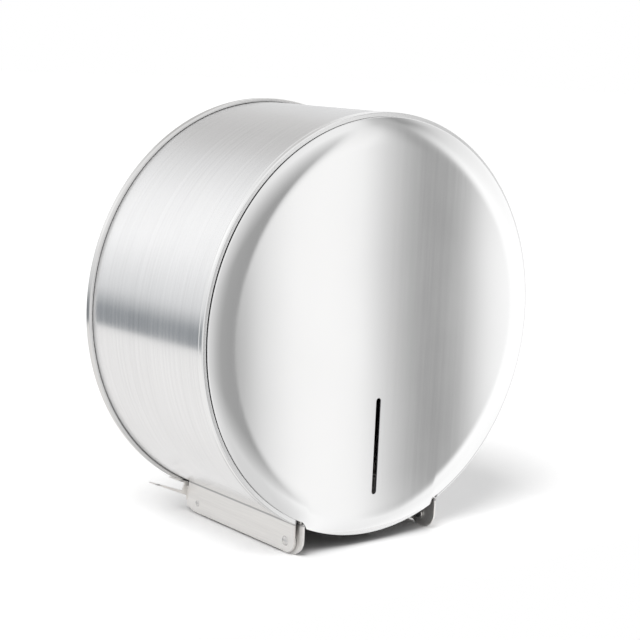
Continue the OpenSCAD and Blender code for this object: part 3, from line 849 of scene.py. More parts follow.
@dataclass
class Door:
    """The dished door with its sight slot."""

    t: float = 1.0
    lip: float = 1.0
    shoulder_w: float = 19.0
    shoulder_slope: float = 18.5
    crown_h: float = 0.42
    slot_w: float = 3.5
    slot_top: float = 45.0
    slot_len: float = 62.0
    slot_edge: float = 0.25
    slot_fan: float = 150.0
    fan_over: float = 0.1
    bunching: float = 0.08
    lip_round: float = 0.5
    rear_round: float = 0.2
    low_lip: float = 3.0
    low_lip_half_w: float = 54.0
    low_lip_fade: float = 3.0
    around: int = 320
    across: int = 110

    def __post_init__(self) -> None:
        """Reads the edge from the frame and works out the slope where the crown meets the shoulder."""
        self.r, self.rear_y, _ = span("door_dish")[1]
        self.front_y = self.rear_y - self.lip
        self.edge_rise = math.tan(math.radians(self.shoulder_slope))
        self.crown_r = self.r - self.shoulder_w
        self.crown_rise = 2 * self.crown_h / self.crown_r

    def face(self, radius: np.ndarray, depth: float) -> tuple[np.ndarray, np.ndarray]:
        """The door's face: a nearly flat crown that rolls over more and more towards the edge.

        The crown is a shallow bowl whose rise grows evenly with the radius. Across the shoulder
        the rise grows with the square of the way to the edge, so y there is the edge's y less
        the crown's rise times the way left, less the rest of the rise times a third of the
        shoulder's width times one minus the cube of the way. A deeper face lies behind by its
        depth over the cosine of the slope.

        Args:
            radius: distances from the drum's axis.
            depth: how far behind the front face, 0 or the sheet's thickness.

        Returns:
            y and the sine of the slope at each distance.
        """
        way = np.clip((radius - self.crown_r) / self.shoulder_w, 0, 1)
        inner = np.minimum(radius, self.crown_r) / self.crown_r
        more = self.edge_rise - self.crown_rise
        left = np.maximum(self.r - np.maximum(radius, self.crown_r), 0)
        y = self.front_y - self.crown_rise * left - more * self.shoulder_w / 3 * (1 - way**3)
        y = y - self.crown_h * (1 - inner**2)
        rise = self.crown_rise * inner + more * way**2
        steep = np.sqrt(1 + rise**2)
        return y + depth * steep, rise / steep

    def reach(self, flat: np.ndarray) -> np.ndarray:
        """How far the door reaches towards each (x, z) point, over its edge radius.

        It is 1, but between the ears the edge runs out to a low lip: the share is full inside
        the lip's half width less its fade, and from twice the fade below the axis downward.
        """
        beside = np.clip((self.low_lip_half_w - np.abs(flat[..., 0])) / self.low_lip_fade, 0, 1)
        below = np.clip(-flat[..., 1] / self.r * 2 - 0.5, 0, 1)
        share = beside * beside * (3 - 2 * beside) * below
        return 1 + self.low_lip / self.r * share

    def stadium(self, grow: float) -> tuple[np.ndarray, np.ndarray]:
        """The slot's outline, grown outward, and its outward normals, each as (x, z) points.

        It is a straight-sided oval: the nearest point of the slot's middle line plus half the
        width along the normal. Its points are spread evenly over the outline's length.
        """
        half_w = self.slot_w / 2
        half_l = self.slot_len / 2 - half_w
        run = 2 * math.pi * half_w + 4 * half_l
        s = (np.arange(self.around) + 0.5) / self.around * run
        quarter = math.pi * half_w
        up = np.clip(s, 0, 2 * half_l)
        arc_top = np.clip((s - 2 * half_l) / quarter, 0, 1)
        down = np.clip(s - 2 * half_l - quarter, 0, 2 * half_l)
        arc_low = np.clip((s - 4 * half_l - quarter) / quarter, 0, 1)
        turn = math.pi * (arc_top + arc_low)
        middle = np.stack([0 * s, up - half_l - down], axis=1)
        normal = np.stack([np.cos(turn), np.sin(turn)], axis=1)
        middle[:, 1] -= self.slot_top + self.slot_len / 2
        return middle + normal * (half_w + grow), normal

    def circle(self, radius: float) -> np.ndarray:
        """Points on a circle that pair with the slot's outline, the ends of the slot fanned out."""
        half_l = self.slot_len / 2 - self.slot_w / 2
        share = (np.arange(self.around) + 0.5) / self.around
        side = 2 * half_l / (math.pi * self.slot_w + 4 * half_l)
        fan, over, half_turn = math.radians(self.slot_fan) / 2, self.fan_over, math.pi
        ends = [-fan - over, fan + over, half_turn - fan, half_turn + fan, 2 * half_turn - fan - over]
        angle = np.interp(share, [0, side, 0.5, 0.5 + side, 1.0], ends)
        flat = np.stack([np.cos(angle), np.sin(angle)], axis=1) * radius
        return flat * self.reach(flat * self.r / radius)[:, None]

    def skin(self, inner: np.ndarray, outer: np.ndarray, depth: float, side: float) -> tuple:
        """One face of the door between the slot's outline and the edge.

        Each point lies on the straight line from its place on the slot's outline to its partner
        on the edge, with more points near both ends, and takes its y from the profile.

        Args:
            inner: outline at the slot.
            outer: outline at the edge.
            depth: how far behind the front face.
            side: 1 for a face that looks forward, -1 for one that looks back.

        Returns:
            Points and normals, outline by steps by 3.
        """
        share = np.linspace(0, 1, self.across)
        share = (share - self.bunching * np.sin(2 * np.pi * share))[None, :, None]
        flat = inner[:, None, :] * (1 - share) + outer[:, None, :] * share
        radius = np.linalg.norm(flat, axis=2)
        y, sine = self.face(radius / self.reach(flat), depth)
        cosine = np.sqrt(1 - sine**2)
        out = flat / np.maximum(radius, 1e-9)[:, :, None]
        return lifted(flat, y), lifted(out * sine[:, :, None], -cosine) * side

    def dish(self) -> Surface:
        """The whole door as one closed sheet, from the slot over the front, round the edge and back.

        The edge and the slot's rims are quarter circles: the outline shrinks by the radius times
        one minus the cosine while y moves by the radius times one minus the sine.
        """
        turn = np.radians(np.linspace(0, 90, 5))
        slope = math.radians(self.shoulder_slope)
        e = self.lip_round
        tip = e * math.tan((math.pi / 2 - slope) / 2)
        opening = self.stadium(self.slot_edge)[0]
        front = self.skin(opening, self.circle(self.r - tip * math.cos(slope)), 0, 1)
        sweep = slope + (math.pi / 2 - slope) * np.linspace(0, 1, 7)[1:]
        ring = self.circle(1.0)
        edge_y = self.front_y + tip
        edge_r = self.r - e * (1 - np.sin(sweep))
        lip = self._ring(ring, edge_r, edge_y - e * np.cos(sweep), np.sin(sweep), -np.cos(sweep))
        rear_e, back_r = self.rear_round, self.r - self.t
        rear = self._ring(
            ring,
            np.array([self.r, self.r - rear_e, back_r + rear_e]),
            np.array([self.rear_y - rear_e, self.rear_y, self.rear_y]),
            np.array([1.0, 0.0, 0.0]),
            np.array([0.0, 1.0, 1.0]),
        )
        back = self.skin(opening, self.circle(back_r), self.t, -1)
        back = (back[0][:, ::-1], back[1][:, ::-1])
        wall = self._slot_wall(turn)
        points = np.concatenate([front[0], lip[0], rear[0], back[0], wall[0]], axis=1)
        normals = np.concatenate([front[1], lip[1], rear[1], back[1], wall[1]], axis=1)
        rows, columns = points.shape[:2]
        inside = np.zeros((rows, columns))
        # the rear round, the back and the slot's wall are marked inside, so they are painted dark as shade
        inside[:, front[0].shape[1] + lip[0].shape[1] + 1 :] = 1.0
        return Surface(
            points=points,
            normals=normals,
            along=np.linspace(0, 2 * math.pi * self.r * MM, rows + 1),
            across=np.linspace(0, 2 * self.r * MM, columns + 1),
            close_rows=True,
            close_columns=True,
            inside=inside,
        )

    @staticmethod
    def _ring(ring: np.ndarray, r: np.ndarray, y: np.ndarray, nr: np.ndarray, ny: np.ndarray) -> tuple:
        """Rings round the edge at given radii, each with one y and one normal."""
        none = 0 * ring[:, :1]
        return tuple(
            lifted(ring[:, None, :] * out[None, :, None], none + ahead) for out, ahead in ((r, y), (nr, ny))
        )

    def _slot_wall(self, turn: np.ndarray) -> tuple:
        """The slot's wall through the sheet, with a small round at its front and rear rims."""
        grow = self.slot_edge * (1 - np.sin(turn))
        outline, normal = self.stadium(0)
        places, ways = [], []
        for depth, order, sign in ((self.t, 1, 1.0), (0.0, -1, -1.0)):
            g, a = grow[::order], turn[::order]
            flat = outline[:, None, :] + normal[:, None, :] * g[None, :, None]
            y, _ = self.face(np.linalg.norm(flat, axis=2) / self.reach(flat), depth)
            y = y - sign * self.slot_edge * (1 - np.cos(a))[None, :]
            places.append(lifted(flat, y))
            out = -normal[:, None, :] * np.sin(a)[None, :, None]
            ways.append(lifted(out, sign * np.cos(a)[None] + 0 * y))
        points, normals = np.concatenate(places, axis=1), np.concatenate(ways, axis=1)
        return points[:, 1:-1], normals[:, 1:-1]

    def dress(self, f: Finishes) -> None:
        """Builds and dresses the door's pieces."""
        settle(built("door_panel", self.dish()), Body.DOOR, Slot.DOOR, f.door, "door_dish")
        for node in ("door_ear_left", "door_ear_right", "door_catch"):
            SheetPiece(node, Body.DOOR).dress(f.sheet)


@dataclass
class Rivets:
    """The pivot and tear bar rivets and the pivots' washers."""

    pivot_r: float = 2.5
    head_r: float = 3.1
    head_h: float = 1.3
    gap: float = 0.2
    ear_t: float = 1.5
    cheek_t: float = 1.0
    bar_sheets_t: float = 1.6
    tear_r: float = 1.5
    tear_head_r: float = 2.1
    tear_head_h: float = 0.8
    under_head: float = 0.12
    tail_round: float = 0.15
    washer_round: float = 0.2

    def __post_init__(self) -> None:
        """Reads the rivets', washers' and sheets' places from the frame."""
        low, high = span("pivot_washers")
        self.pivot_y, self.pivot_z = (low[1] + high[1]) / 2, (low[2] + high[2]) / 2
        self.cheek_in, self.washer_r = high[0], (high[1] - low[1]) / 2
        self.cheek_x = self.cheek_in + self.cheek_t
        ear_out = span("door_ear_right")[1][0]
        self.washer_t = self.cheek_in - ear_out - self.gap
        self.tail_x = ear_out - self.ear_t - self.gap
        self.tear_tail_x = self.cheek_in - self.bar_sheets_t
        low, high = span("tear_bar_rivets")
        self.tear_y, self.tear_z = (low[1] + high[1]) / 2, (low[2] + high[2]) / 2

    def rivet(self, shank_r: float, head_r: float, head_h: float, grip: float) -> Surface:
        """A rivet along -Y: a domed head on the plane y = 0, a shank behind it and a flat tail."""
        dome_r = (head_r**2 + head_h**2) / (2 * head_h)
        arc = math.asin(head_r / dome_r) * np.linspace(0, 1, 8)
        dome = [
            (dome_r * math.sin(a), dome_r - head_h - dome_r * math.cos(a), 0.02) for a in arc[1:]
        ]
        under, e = self.under_head, self.tail_round
        return turned_solid([
            (0, -head_h, 0.0), *dome, (head_r, under, 0.05), (shank_r, under, 0.05),
            (shank_r, grip, 0.05), (head_r, grip, e), (head_r, grip + head_h, e),
            (0, grip + head_h, 0.0),
        ], steps=40)

    def dress(self, f: Finishes) -> None:
        """Builds and dresses the rivets and washers."""
        pairs = (
            ("pivot_pins", "pivot_rivets", self.pivot_r, self.head_r, self.head_h, self.tail_x,
             self.pivot_y, self.pivot_z),
            ("bar_pins", "tear_bar_rivets", self.tear_r, self.tear_head_r, self.tear_head_h,
             self.tear_tail_x, self.tear_y, self.tear_z),
        )
        for name, node, r, head_r, head_h, tail, y, z in pairs:
            sides = [
                self.rivet(r, head_r, head_h, self.cheek_x - tail).placed(
                    axis_turn((side, 0, 0)), np.array([side * self.cheek_x, y, z])
                )
                for side in (1, -1)
            ]
            settle(built(name, *sides), Body.CASING, Slot.SCREW, f.screw, node)
        e = self.washer_round
        ring = [
            (self.pivot_r, 0, e), (self.pivot_r, self.washer_t, e),
            (self.washer_r, self.washer_t, e), (self.washer_r, 0, e),
        ]
        sides = [
            turned(ring, 48).placed(
                axis_turn((-side, 0, 0)),
                np.array([side * (self.cheek_in - self.washer_t), self.pivot_y, self.pivot_z]),
            )
            for side in (1, -1)
        ]
        settle(built("pivot_rings", *sides), Body.CASING, Slot.SCREW, f.screw, "pivot_washers")


@dataclass
class Screws:
    """Pan-head screws with a cross recess, along the drum's axis or the lock's."""

    head_r: float
    head_h: float
    shank_r: float
    length: float
    recess_share: float = 0.55
    recess_w_share: float = 0.17
    recess_depth_share: float = 0.6
    recess_fade: float = 0.25
    under_head: float = 0.12
    rings: int = 26
    steps: int = 96

    def solid(self) -> list[Surface]:
        """The screw along -Y: a low dome with a cross-shaped dark recess drawn as four lobes.

        The head is the dome of a sphere. Towards the middle its height drops inside the cross,
        whose two bars cross at a right angle: the drop is full where the distance to the nearest
        bar's middle line is well under half a bar's width, and fades towards the bar's side.
        """
        dome_r = (self.head_r**2 + self.head_h**2) / (2 * self.head_h)
        radius = np.linspace(0, 1, self.rings) ** 0.8 * self.head_r
        angle = np.arange(self.steps) / self.steps * 2 * math.pi
        gr, ga = np.meshgrid(radius, angle, indexing="xy")
        x, z = gr * np.cos(ga), gr * np.sin(ga)
        height = np.sqrt(np.maximum(dome_r**2 - gr**2, 0)) - (dome_r - self.head_h)
        bar = self.head_r * self.recess_w_share
        reach = self.head_r * self.recess_share
        near = np.minimum(np.maximum(np.abs(x) - bar, np.abs(z) - reach),
                          np.maximum(np.abs(z) - bar, np.abs(x) - reach))
        sink = np.clip(-near / (self.recess_fade * bar), 0, 1)
        height = height - sink * sink * (3 - 2 * sink) * self.head_h * self.recess_depth_share
        head = np.stack([x, -height, z], axis=2)
        head[:, -1, 1] = -self.under_head
        base = np.stack([self.head_r * np.cos(angle), 0 * angle, self.head_r * np.sin(angle)], axis=1)
        foot = np.zeros((self.steps, 3))
        points = np.concatenate([head, base[:, None], foot[:, None]], axis=1)
        across = np.gradient(points, axis=1)
        round_ = (np.roll(points, -1, axis=0) - np.roll(points, 1, axis=0)) / 2
        normals = np.cross(across, round_)
        size = np.linalg.norm(normals, axis=2, keepdims=True)
        normals = np.where(size > 1e-9, normals / np.maximum(size, 1e-9), [0.0, -1.0, 0.0])
        normals[:, 0], normals[:, -1] = [0.0, -1.0, 0.0], [0.0, 1.0, 0.0]
        dome = Surface(
            points=points, normals=normals,
            along=np.linspace(0, self.head_r * MM, self.steps + 1),
            across=np.linspace(0, self.head_r * MM, self.rings + 2),
            close_rows=True, pole_first=True, pole_last=True,
        )
        shank = turned_solid([
            (0, 0.02, 0.0), (self.shank_r, 0.02, 0.1), (self.shank_r, self.length, 0.3),
            (0, self.length, 0.0),
        ])
        return [dome, shank]

    def at(self, places: list[Triple], axis: Triple) -> list[Surface]:
        """Screws at several places, all along one axis."""
        turn = axis_turn(axis)
        return [part.placed(turn, np.array(place)) for place in places for part in self.solid()]


@dataclass
class Spindle:
    """The post on its flange and the hub that turns on it."""

    flange_r: float = 38.0
    flange_t: float = 2.5
    plate_t: float = 1.2
    screw_circle: float = 31.0
    screw_angle: float = 45.0
    post_r: float = 12.0
    post_len: float = 90.0
    hub_r: float = 21.0
    hub_t: float = 2.2
    hub_inner_t: float = 2.2
    hub_clearance: float = 0.1
    hub_flange_r: float = 26.0
    hub_wall: float = 2.5
    hub_chamfer: float = 1.5
    hub_play: float = 0.4
    retainer_r: float = 16.5
    retainer_t: float = 2.0
    retainer_bore_r: float = 2.5
    bracket_angles: tuple[float, ...] = (20, 160, 214, 326)
    bracket_screw_at: float = 122.4
    bracket_seat_y: float = -2.4

    def __post_init__(self) -> None:
        """Works out where the post stands on the flange and where it ends."""
        self.seat = -self.plate_t - self.flange_t
        self.nose = self.seat - self.post_len

    def post(self) -> Surface:
        """The post's tube, drawn as a solid round bar with broken edges."""
        return turned_solid([
            (0, self.seat, 0.0), (self.post_r, self.seat, 0.3), (self.post_r, self.nose, 0.6),
            (0, self.nose, 0.0),
        ], steps=96)

    def flange(self) -> Surface:
        """The flange, a flat disc with a rounded edge."""
        return turned_solid([
            (0, -self.plate_t, 0.0), (self.flange_r, -self.plate_t, 0.2),
            (self.flange_r, self.seat, 0.6), (0, self.seat, 0.0),
        ], steps=128)

    def hub(self) -> Surface:
        """The hub: an outer and an inner sleeve joined by the front wall, with a rear flange."""
        rear, front = self.seat - self.hub_play / 2, self.nose + self.hub_play / 2
        bore = self.post_r + self.hub_clearance
        sleeve_in = self.hub_r - self.hub_t
        return turned([
            (bore, rear, 0.2), (bore + self.hub_inner_t, rear, 0.2),
            (bore + self.hub_inner_t, front + self.hub_wall, 0.5),
            (sleeve_in, front + self.hub_wall, 0.5), (sleeve_in, rear, 0.2),
            (self.hub_flange_r, rear, 0.4), (self.hub_flange_r, rear - self.hub_wall, 0.6),
            (self.hub_r, rear - self.hub_wall, 0.6), (self.hub_r, front + self.hub_chamfer, 0.5),
            (self.hub_r - self.hub_chamfer, front, 0.4), (bore, front, 0.3),
        ], 128)

    def retainer(self) -> Surface:
        """The washer that keeps the hub on the post."""
        bore, front = self.retainer_bore_r, self.nose - self.retainer_t
        return turned([
            (bore, self.nose, 0.2), (self.retainer_r, self.nose, 0.3), (self.retainer_r, front, 0.5),
            (bore, front, 0.2),
        ], 96)

    @staticmethod
    def spread(radius: float, y: float, angles: np.ndarray) -> list[Triple]:
        """Places at some angles round the axis."""
        return [(radius * math.cos(a), y, radius * math.sin(a)) for a in angles]

    def dress(self, f: Finishes) -> None:
        """Builds and dresses the spindle, the hub and their screws."""
        rows = (
            ("hub_flange_disc", self.flange(), Body.CASING, Slot.PLAIN_SHEET, f.post, "spindle_flange"),
            ("hub_post", self.post(), Body.CASING, Slot.POLISHED, f.post, "spindle_post"),
            ("hub_sleeve", self.hub(), Body.HUB, Slot.PLASTIC, f.plastic, "core_hub"),
            ("hub_washer", self.retainer(), Body.CASING, Slot.POLISHED, f.post, "hub_retainer"),
        )
        for name, surface, body, slot, finish, node in rows:
            settle(built(name, surface), body, slot, finish, node)
        turns = np.radians(self.screw_angle + 90 * np.arange(4))
        ring = self.spread(self.screw_circle, self.seat, turns)
        brackets = self.spread(self.bracket_screw_at, self.bracket_seat_y, np.radians(self.bracket_angles))
        end = [(0.0, self.nose - self.retainer_t, 0.0)]
        rows = (
            ("flange_screw_set", Screws(3.8, 2.4, 2.0, 3.6), ring, "spindle_screws"),
            ("bracket_screw_set", Screws(3.6, 2.0, 2.0, 2.3), brackets, "bracket_screws"),
            ("end_screw", Screws(5.0, 3.2, 2.5, 9.8), end, "retainer_screw"),
        )
        for name, screw, places, node in rows:
            parts = screw.at(places, (0, -1, 0))
            settle(built(name, *parts), Body.CASING, Slot.SCREW, f.screw, node)


@dataclass
class Lock:
    """The cam lock through the drum's wall."""

    angle: float = 40.0
    barrel_r: float = 8.5
    barrel_len: float = 15.0
    head_r: float = 11.5
    head_h: float = 1.8
    gasket_t: float = 1.0
    bore_r: float = 5.98
    cam_gap: float = 0.3
    cam_t: float = 1.8

    def __post_init__(self) -> None:
        """Reads the lock's place from the frame and works out its direction, straight out."""
        low, high = span("lock_gasket")
        self.y, self.drum_r = (low[1] + high[1]) / 2, span("drum_wall")[1][2]
        a = math.radians(self.angle)
        self.out = np.array([math.cos(a), 0.0, math.sin(a)])
        self.turn = axis_turn(tuple(self.out))

    def at(self, surface: Surface) -> Surface:
        """Places a surface on the lock's axis, with -Y pointing out and y measured from the drum's axis."""
        return surface.placed(self.turn, np.array([0.0, self.y, 0.0]))

    def barrel(self) -> Surface:
        """The barrel with its flat head, and the bore that holds the plug."""
        low, seat = self.drum_r - self.barrel_len, self.drum_r + self.gasket_t
        top = seat + self.head_h
        return self.at(turned([
            (self.bore_r, -low, 0.2), (self.barrel_r, -low, 0.3), (self.barrel_r, -seat, 0.1),
            (self.head_r, -seat, 0.2), (self.head_r, -top, 0.8), (self.bore_r, -top, 0.3),
        ], 96))

    def gasket(self) -> Surface:
        """The flat ring under the head."""
        low, top = self.drum_r, self.drum_r + self.gasket_t
        return self.at(turned([
            (self.barrel_r, -low, 0.1), (self.head_r, -low, 0.25), (self.head_r, -top, 0.25),
            (self.barrel_r, -top, 0.1),
        ], 96))

    def dress(self, f: Finishes) -> None:
        """Builds and dresses the lock's pieces."""
        settle(built("lock_body", self.barrel()), Body.CASING, Slot.CHROME, f.chrome, "lock_barrel")
        settle(built("lock_ring", self.gasket()), Body.CASING, Slot.RUBBER, f.rubber, "lock_gasket")
        SheetPiece("lock_nut", edge=0.3, slot=Slot.CHROME).dress(f.screw)
        SheetPiece("lock_plug", Body.LOCK, 0.15, Slot.CHROME).dress(f.chrome)
        SheetPiece("lock_cam", Body.LOCK).dress(f.sheet)
        low = self.drum_r - self.barrel_len - self.cam_gap - self.cam_t
        at = self.out * low + np.array([0.0, self.y, 0.0])
        parts = Screws(3.6, 2.2, 1.5, 6.0).at([tuple(at)], tuple(-self.out))
        settle(built("cam_end_screw", *parts), Body.LOCK, Slot.SCREW, f.screw, "cam_screw")


# ---- studio


@dataclass(frozen=True)
class Ring:
    """The room's light round the horizon at one height, as glossy pieces mirror it.

    Attributes:
        stops: azimuth in degrees from straight out of the door, level and, where the stop isn't
            grey, coolness of each stop.
    """

    stops: tuple[tuple[float, ...], ...]

    def fill(self, ramp: bpy.types.ColorRamp) -> None:
        """Writes the stops to a colour ramp that spans the whole turn."""
        while len(ramp.elements) < len(self.stops):
            ramp.elements.new(1.0)
        for element, (azimuth, level, *coolness) in zip(ramp.elements, self.stops):
            cool = sum(coolness)
            element.position = azimuth / 360 + 0.5
            element.color = (level * (1 - cool), level, level * (1 + cool), 1.0)


@dataclass
class Studio:
    """A white floor and surround, a high soft lamp, and a room that only gloss sees.

    Lengths are metres here, and azimuths and heights are degrees.

    Attributes:
        floor_half: half the floor's side.
        floor_colour: the floor's grey for all but the camera, which sees floor_white.
        under_x: where the patch below the object that gloss still sees ends sideways.
        under_y: how far that patch's middle lies in front of the wall, and under_reach its ends.
        clear_y: where the camera starts to see through the floor, and where it fully does.
        plain_levels: the sky's level for matt surfaces at the horizon and high up.
        low: the room near the floor.
        middle: the room at the horizon.
        high: the room above it.
        lean: degrees that the upright strips lean per degree of height, up to lean_top.
        deep_level: how far the room dims straight below, from the heights of deep_from.
        behind_from: azimuths over which the front of the room passes into its back.
        front_edge: heights over which low turns to middle in front, and back_edge behind.
        front_rise: heights over which middle turns to high in front.
        back_rises: the same behind, in a fast and a slow step, with the share of each.
        plain_to: height at which the plain sky reaches its upper level.
    """

    floor_half: float = 12.0
    floor_colour: float = 0.80
    floor_white: float = 1.27
    under_x: Range = (0.054, 0.066)
    under_y: float = 0.066
    under_reach: Range = (0.056, 0.072)
    clear_y: Range = (-0.16, -0.21)
    plain_levels: Range = (0.12, 0.66)
    sun_strength: float = 1.5
    sun_from: Triple = (-0.62, -0.32, 1.0)
    sun_spread: float = 32.0
    lean: float = 0.075
    lean_at: float = -10.0
    lean_top: float = -7.0
    deep_from: Range = (-62.0, -46.0)
    deep_level: float = 0.70
    behind_from: Range = (105, 125)
    front_edge: Range = (-24, -15.6)
    back_edge: Range = (-13.6, -12.4)
    front_rise: Range = (-2, 16)
    back_rises: tuple[Triple, ...] = ((-7, -0.5, 0.6), (-0.5, 18, 0.4))
    plain_to: float = 60.0
    floor_cloud: float = 0.4
    low: Ring = Ring((
        (-180, 0.90, -0.01), (-140, 0.93, -0.01), (-60, 0.92), (0, 0.86), (15, 0.72), (28, 0.74),
        (33, 0.84), (36, 1.02), (38, 1.07), (43, 0.97), (47, 0.94), (51, 1.0), (59, 1.08),
        (110, 1.05), (180, 0.90, -0.01),
    ))
    middle: Ring = Ring((
        (-180, 0.34, 0.06), (-150, 0.29, 0.06), (-135, 0.34, 0.05), (-115, 0.62, 0.03), (-60, 0.85),
        (-15, 0.85), (0, 0.74), (6.4, 0.65), (15, 0.50), (22, 0.40), (35.2, 0.36), (35.7, 0.42),
        (36.2, 0.62), (36.6, 0.86), (37.1, 1.02), (38.2, 1.04, -0.004), (40.3, 1.05, -0.004),
        (41.0, 1.02), (41.6, 0.88), (42.1, 0.66), (42.6, 0.44), (43.1, 0.33), (44.4, 0.33),
        (45.0, 0.40), (45.5, 0.60), (46.0, 0.84), (46.5, 1.0), (47.2, 1.13), (105, 1.12),
        (128, 0.50, 0.03), (150, 0.32, 0.05), (180, 0.34, 0.06),
    ))
    high: Ring = Ring((
        (-180, 0.76), (-168, 0.90), (-160, 1.05), (-152, 1.16), (-146, 1.08), (-120, 0.9),
        (-30, 0.90), (10, 0.86), (28, 0.95), (35, 0.95), (38.6, 0.86), (40.5, 0.62), (42.5, 0.53),
        (44.4, 0.48), (46.3, 0.33), (49, 0.42), (53, 0.68), (58, 0.82), (68, 1.0), (75, 1.08),
        (130, 1.0), (142, 0.82), (150, 0.68, -0.01), (160, 0.62, -0.01), (172, 0.64, -0.01),
        (180, 0.76),
    ))

    def surround(self) -> None:
        """The world: white to the camera, plain to matt surfaces, and the room to glossy ones.

        The room is read from the rings by the direction's azimuth, and the rings are blended by
        its elevation: low to middle at the floor's edge, which lies higher behind, and middle to
        high above the horizon, where the room behind brightens first fast and then slowly.
        """
        world = bpy.data.worlds.new("surround")
        bpy.context.scene.world = world
        world.use_nodes = True
        world.cycles.sampling_method = "NONE"
        g = Graph(world.node_tree)
        g.tree.nodes.clear()
        x, y, z = g.split(g.node("ShaderNodeTexCoord").outputs["Generated"])
        azimuth = g.maths("DEGREES", g.maths("ARCTAN2", x, g.maths("MULTIPLY", y, -1.0)))
        height = g.maths("DEGREES", g.maths("ARCSINE", z))
        low_height = g.maths("MINIMUM", height, self.lean_top)
        leaned = g.maths("MULTIPLY", g.maths("SUBTRACT", low_height, self.lean_at), self.lean)
        rings = []
        for ring, angle in (
            (self.low, azimuth), (self.middle, g.maths("ADD", azimuth, leaned)), (self.high, azimuth)
        ):
            ramp = g.node("ShaderNodeValToRGB")
            ring.fill(ramp.color_ramp)
            g.join(g.maths("ADD", g.maths("DIVIDE", angle, 360.0), 0.5), ramp.inputs["Fac"])
            rings.append(ramp.outputs["Color"])
        behind = g.remap(g.maths("ABSOLUTE", azimuth), self.behind_from, (0, 1))
        dusk = g.maths("ADD", *(g.remap(height, step[:2], (0, step[2])) for step in self.back_rises))
        edge, rise = (
            g.maths("ADD", g.maths("MULTIPLY", front, g.maths("SUBTRACT", 1.0, behind)),
                    g.maths("MULTIPLY", back, behind))
            for front, back in (
                (g.remap(height, self.front_edge, (0, 1)), g.remap(height, self.back_edge, (0, 1))),
                (g.remap(height, self.front_rise, (0, 1)), dusk),
            )
        )
        room = g.blend(rise, g.blend(edge, rings[0], rings[1]), rings[2])
        deep = g.node("ShaderNodeVectorMath", operation="SCALE")
        g.join(room, deep.inputs[0])
        g.join(g.remap(height, self.deep_from, (self.deep_level, 1.0)), deep.inputs["Scale"])
        levels = [(level,) * 3 for level in self.plain_levels]
        plain = g.blend(g.remap(height, (0, self.plain_to), (0, 1)), *levels)
        camera, gloss = g.rays()
        seen = g.blend(camera, g.blend(gloss, plain, deep.outputs[0]), (1.0, 1.0, 1.0))
        background = g.node("ShaderNodeBackground")
        g.join(seen, background.inputs["Color"])
        g.join(background.outputs[0], g.node("ShaderNodeOutputWorld").inputs[0])

    def floor(self) -> None:
        """A wide flat floor that keeps the shadow and is lifted to white for the camera.

        The camera sees through it well in front of the object, where no shadow falls, and from
        below, so that the opened door and the underside stay in sight.
        """
        half = self.floor_half
        mesh = bpy.data.meshes.new("floor")
        z = CAD_BOX[0][2]
        corners = [(-half, -half, z), (half, -half, z), (half, half, z), (-half, half, z)]
        mesh.from_pydata(corners, [], [(0, 1, 2, 3)])
        piece = bpy.data.objects.new("floor", mesh)
        bpy.context.scene.collection.objects.link(piece)
        s = Shader("pale_floor")
        grey = (self.floor_colour,) * 3
        place = s.place(Pattern.PLACE)
        cloud = s.noise(place, (self.floor_cloud,) * 3, 2.0)
        camera, gloss = s.rays()
        pale = s.blend(cloud, scaled(grey, 0.997), scaled(grey, 1.003))
        s.put("Base Color", s.blend(camera, pale, (self.floor_white,) * 3))
        s.put("Roughness", 1.0)
        s.put("Specular IOR Level", 0.0)
        x, y, _ = s.split(place)
        beside = s.remap(s.maths("ABSOLUTE", x), self.under_x, (0, 1))
        ahead = s.remap(s.maths("ABSOLUTE", s.maths("ADD", y, self.under_y)), self.under_reach, (0, 1))
        away = s.maths("MAXIMUM", beside, ahead)
        below = s.node("ShaderNodeNewGeometry").outputs["Backfacing"]
        clear = s.maths("MAXIMUM", s.remap(y, self.clear_y, (0, 1)), below)
        seen = s.maths("MULTIPLY", camera, clear)
        mix = s.node("ShaderNodeMixShader")
        s.join(s.maths("MAXIMUM", s.maths("MULTIPLY", gloss, away), seen), mix.inputs[0])
        s.join(s.shader.outputs[0], mix.inputs[1])
        s.join(s.node("ShaderNodeBsdfTransparent").outputs[0], mix.inputs[2])
        s.join(mix.outputs[0], s.tree.nodes["Material Output"].inputs["Surface"])
        mesh.materials.append(s.material)

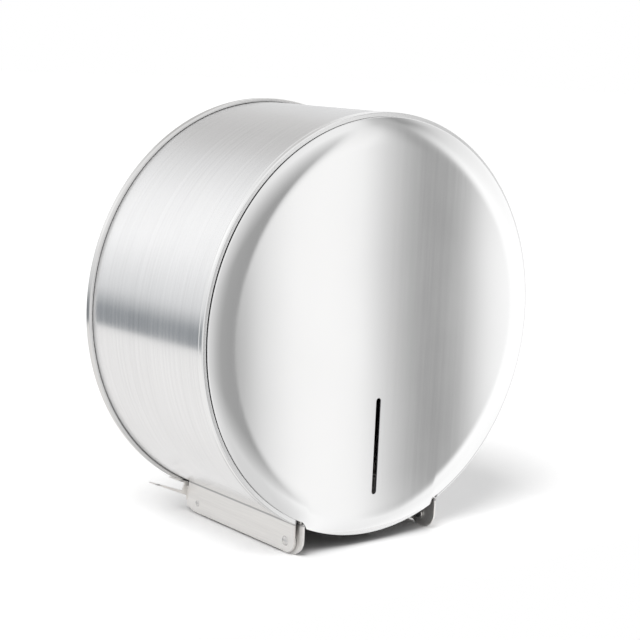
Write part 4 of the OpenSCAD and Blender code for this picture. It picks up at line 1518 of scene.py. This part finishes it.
    def sun(self) -> None:
        """A soft lamp high on the left that isn't mirrored in the steel."""
        data = bpy.data.lights.new("high lamp", "SUN")
        data.energy, data.angle = self.sun_strength, math.radians(self.sun_spread)
        lamp = bpy.data.objects.new("high lamp", data)
        bpy.context.scene.collection.objects.link(lamp)
        turn = axis_look(-np.array(self.sun_from))
        lamp.rotation_mode = "QUATERNION"
        lamp.rotation_quaternion = Matrix(turn.tolist()).to_quaternion()
        lamp.visible_glossy = False

    def build(self) -> None:
        """Builds the floor, the surround and the lamp."""
        bpy.context.scene.view_settings.view_transform = "Standard"
        self.surround()
        self.floor()
        self.sun()


def axis_look(way: np.ndarray) -> np.ndarray:
    """Matrix of a lamp or camera whose -Z looks along a direction, with Z kept up."""
    back = -way / np.linalg.norm(way)
    right = np.cross([0.0, 0.0, 1.0], back)
    right /= np.linalg.norm(right)
    return np.stack([right, np.cross(back, right), back], axis=1)


@dataclass(frozen=True)
class View:
    """The camera at the photograph's place, found by fitting the drum's two rims and the slot.

    Attributes:
        place: where it stands, in metres.
        heading: degrees that it looks to the right of straight at the wall.
        pitch: degrees that it looks up.
        roll: degrees that it leans to its left.
        lens: focal length, in millimetres.
        sensor: width of the picture behind the lens, in millimetres.
    """

    place: Triple = (-0.6410565, -0.8470839, 0.1676801)
    heading: float = 39.449435
    pitch: float = -9.710830
    roll: float = 2.466615
    lens: float = 88.43
    sensor: float = 36.0

    def build(self) -> None:
        """Makes the camera and sets it as the scene's."""
        data = bpy.data.cameras.new("view")
        data.lens, data.sensor_width = self.lens, self.sensor
        camera = bpy.data.objects.new("view", data)
        bpy.context.scene.collection.objects.link(camera)
        heading, pitch, roll = np.radians([self.heading, self.pitch, self.roll])
        level = math.cos(pitch)
        way = np.array([math.sin(heading) * level, math.cos(heading) * level, math.sin(pitch)])
        turn = Matrix(axis_look(way).tolist()).to_4x4() @ Matrix.Rotation(roll, 4, "Z")
        camera.matrix_world = Matrix.Translation(self.place) @ turn
        bpy.context.scene.camera = camera


def main() -> None:
    """Builds the view, the studio and the dispenser's sub-assemblies in order."""
    logging.basicConfig(level=logging.INFO, format="%(name)s: %(message)s")
    View().build()
    Studio().build()
    finishes = Finishes.make()
    for part in (Casing(), Door(), Rivets(), Spindle(), Lock()):
        part.dress(finishes)
        LOG.info("%s dressed", type(part).__name__)


if __name__ == "__main__":
    main()
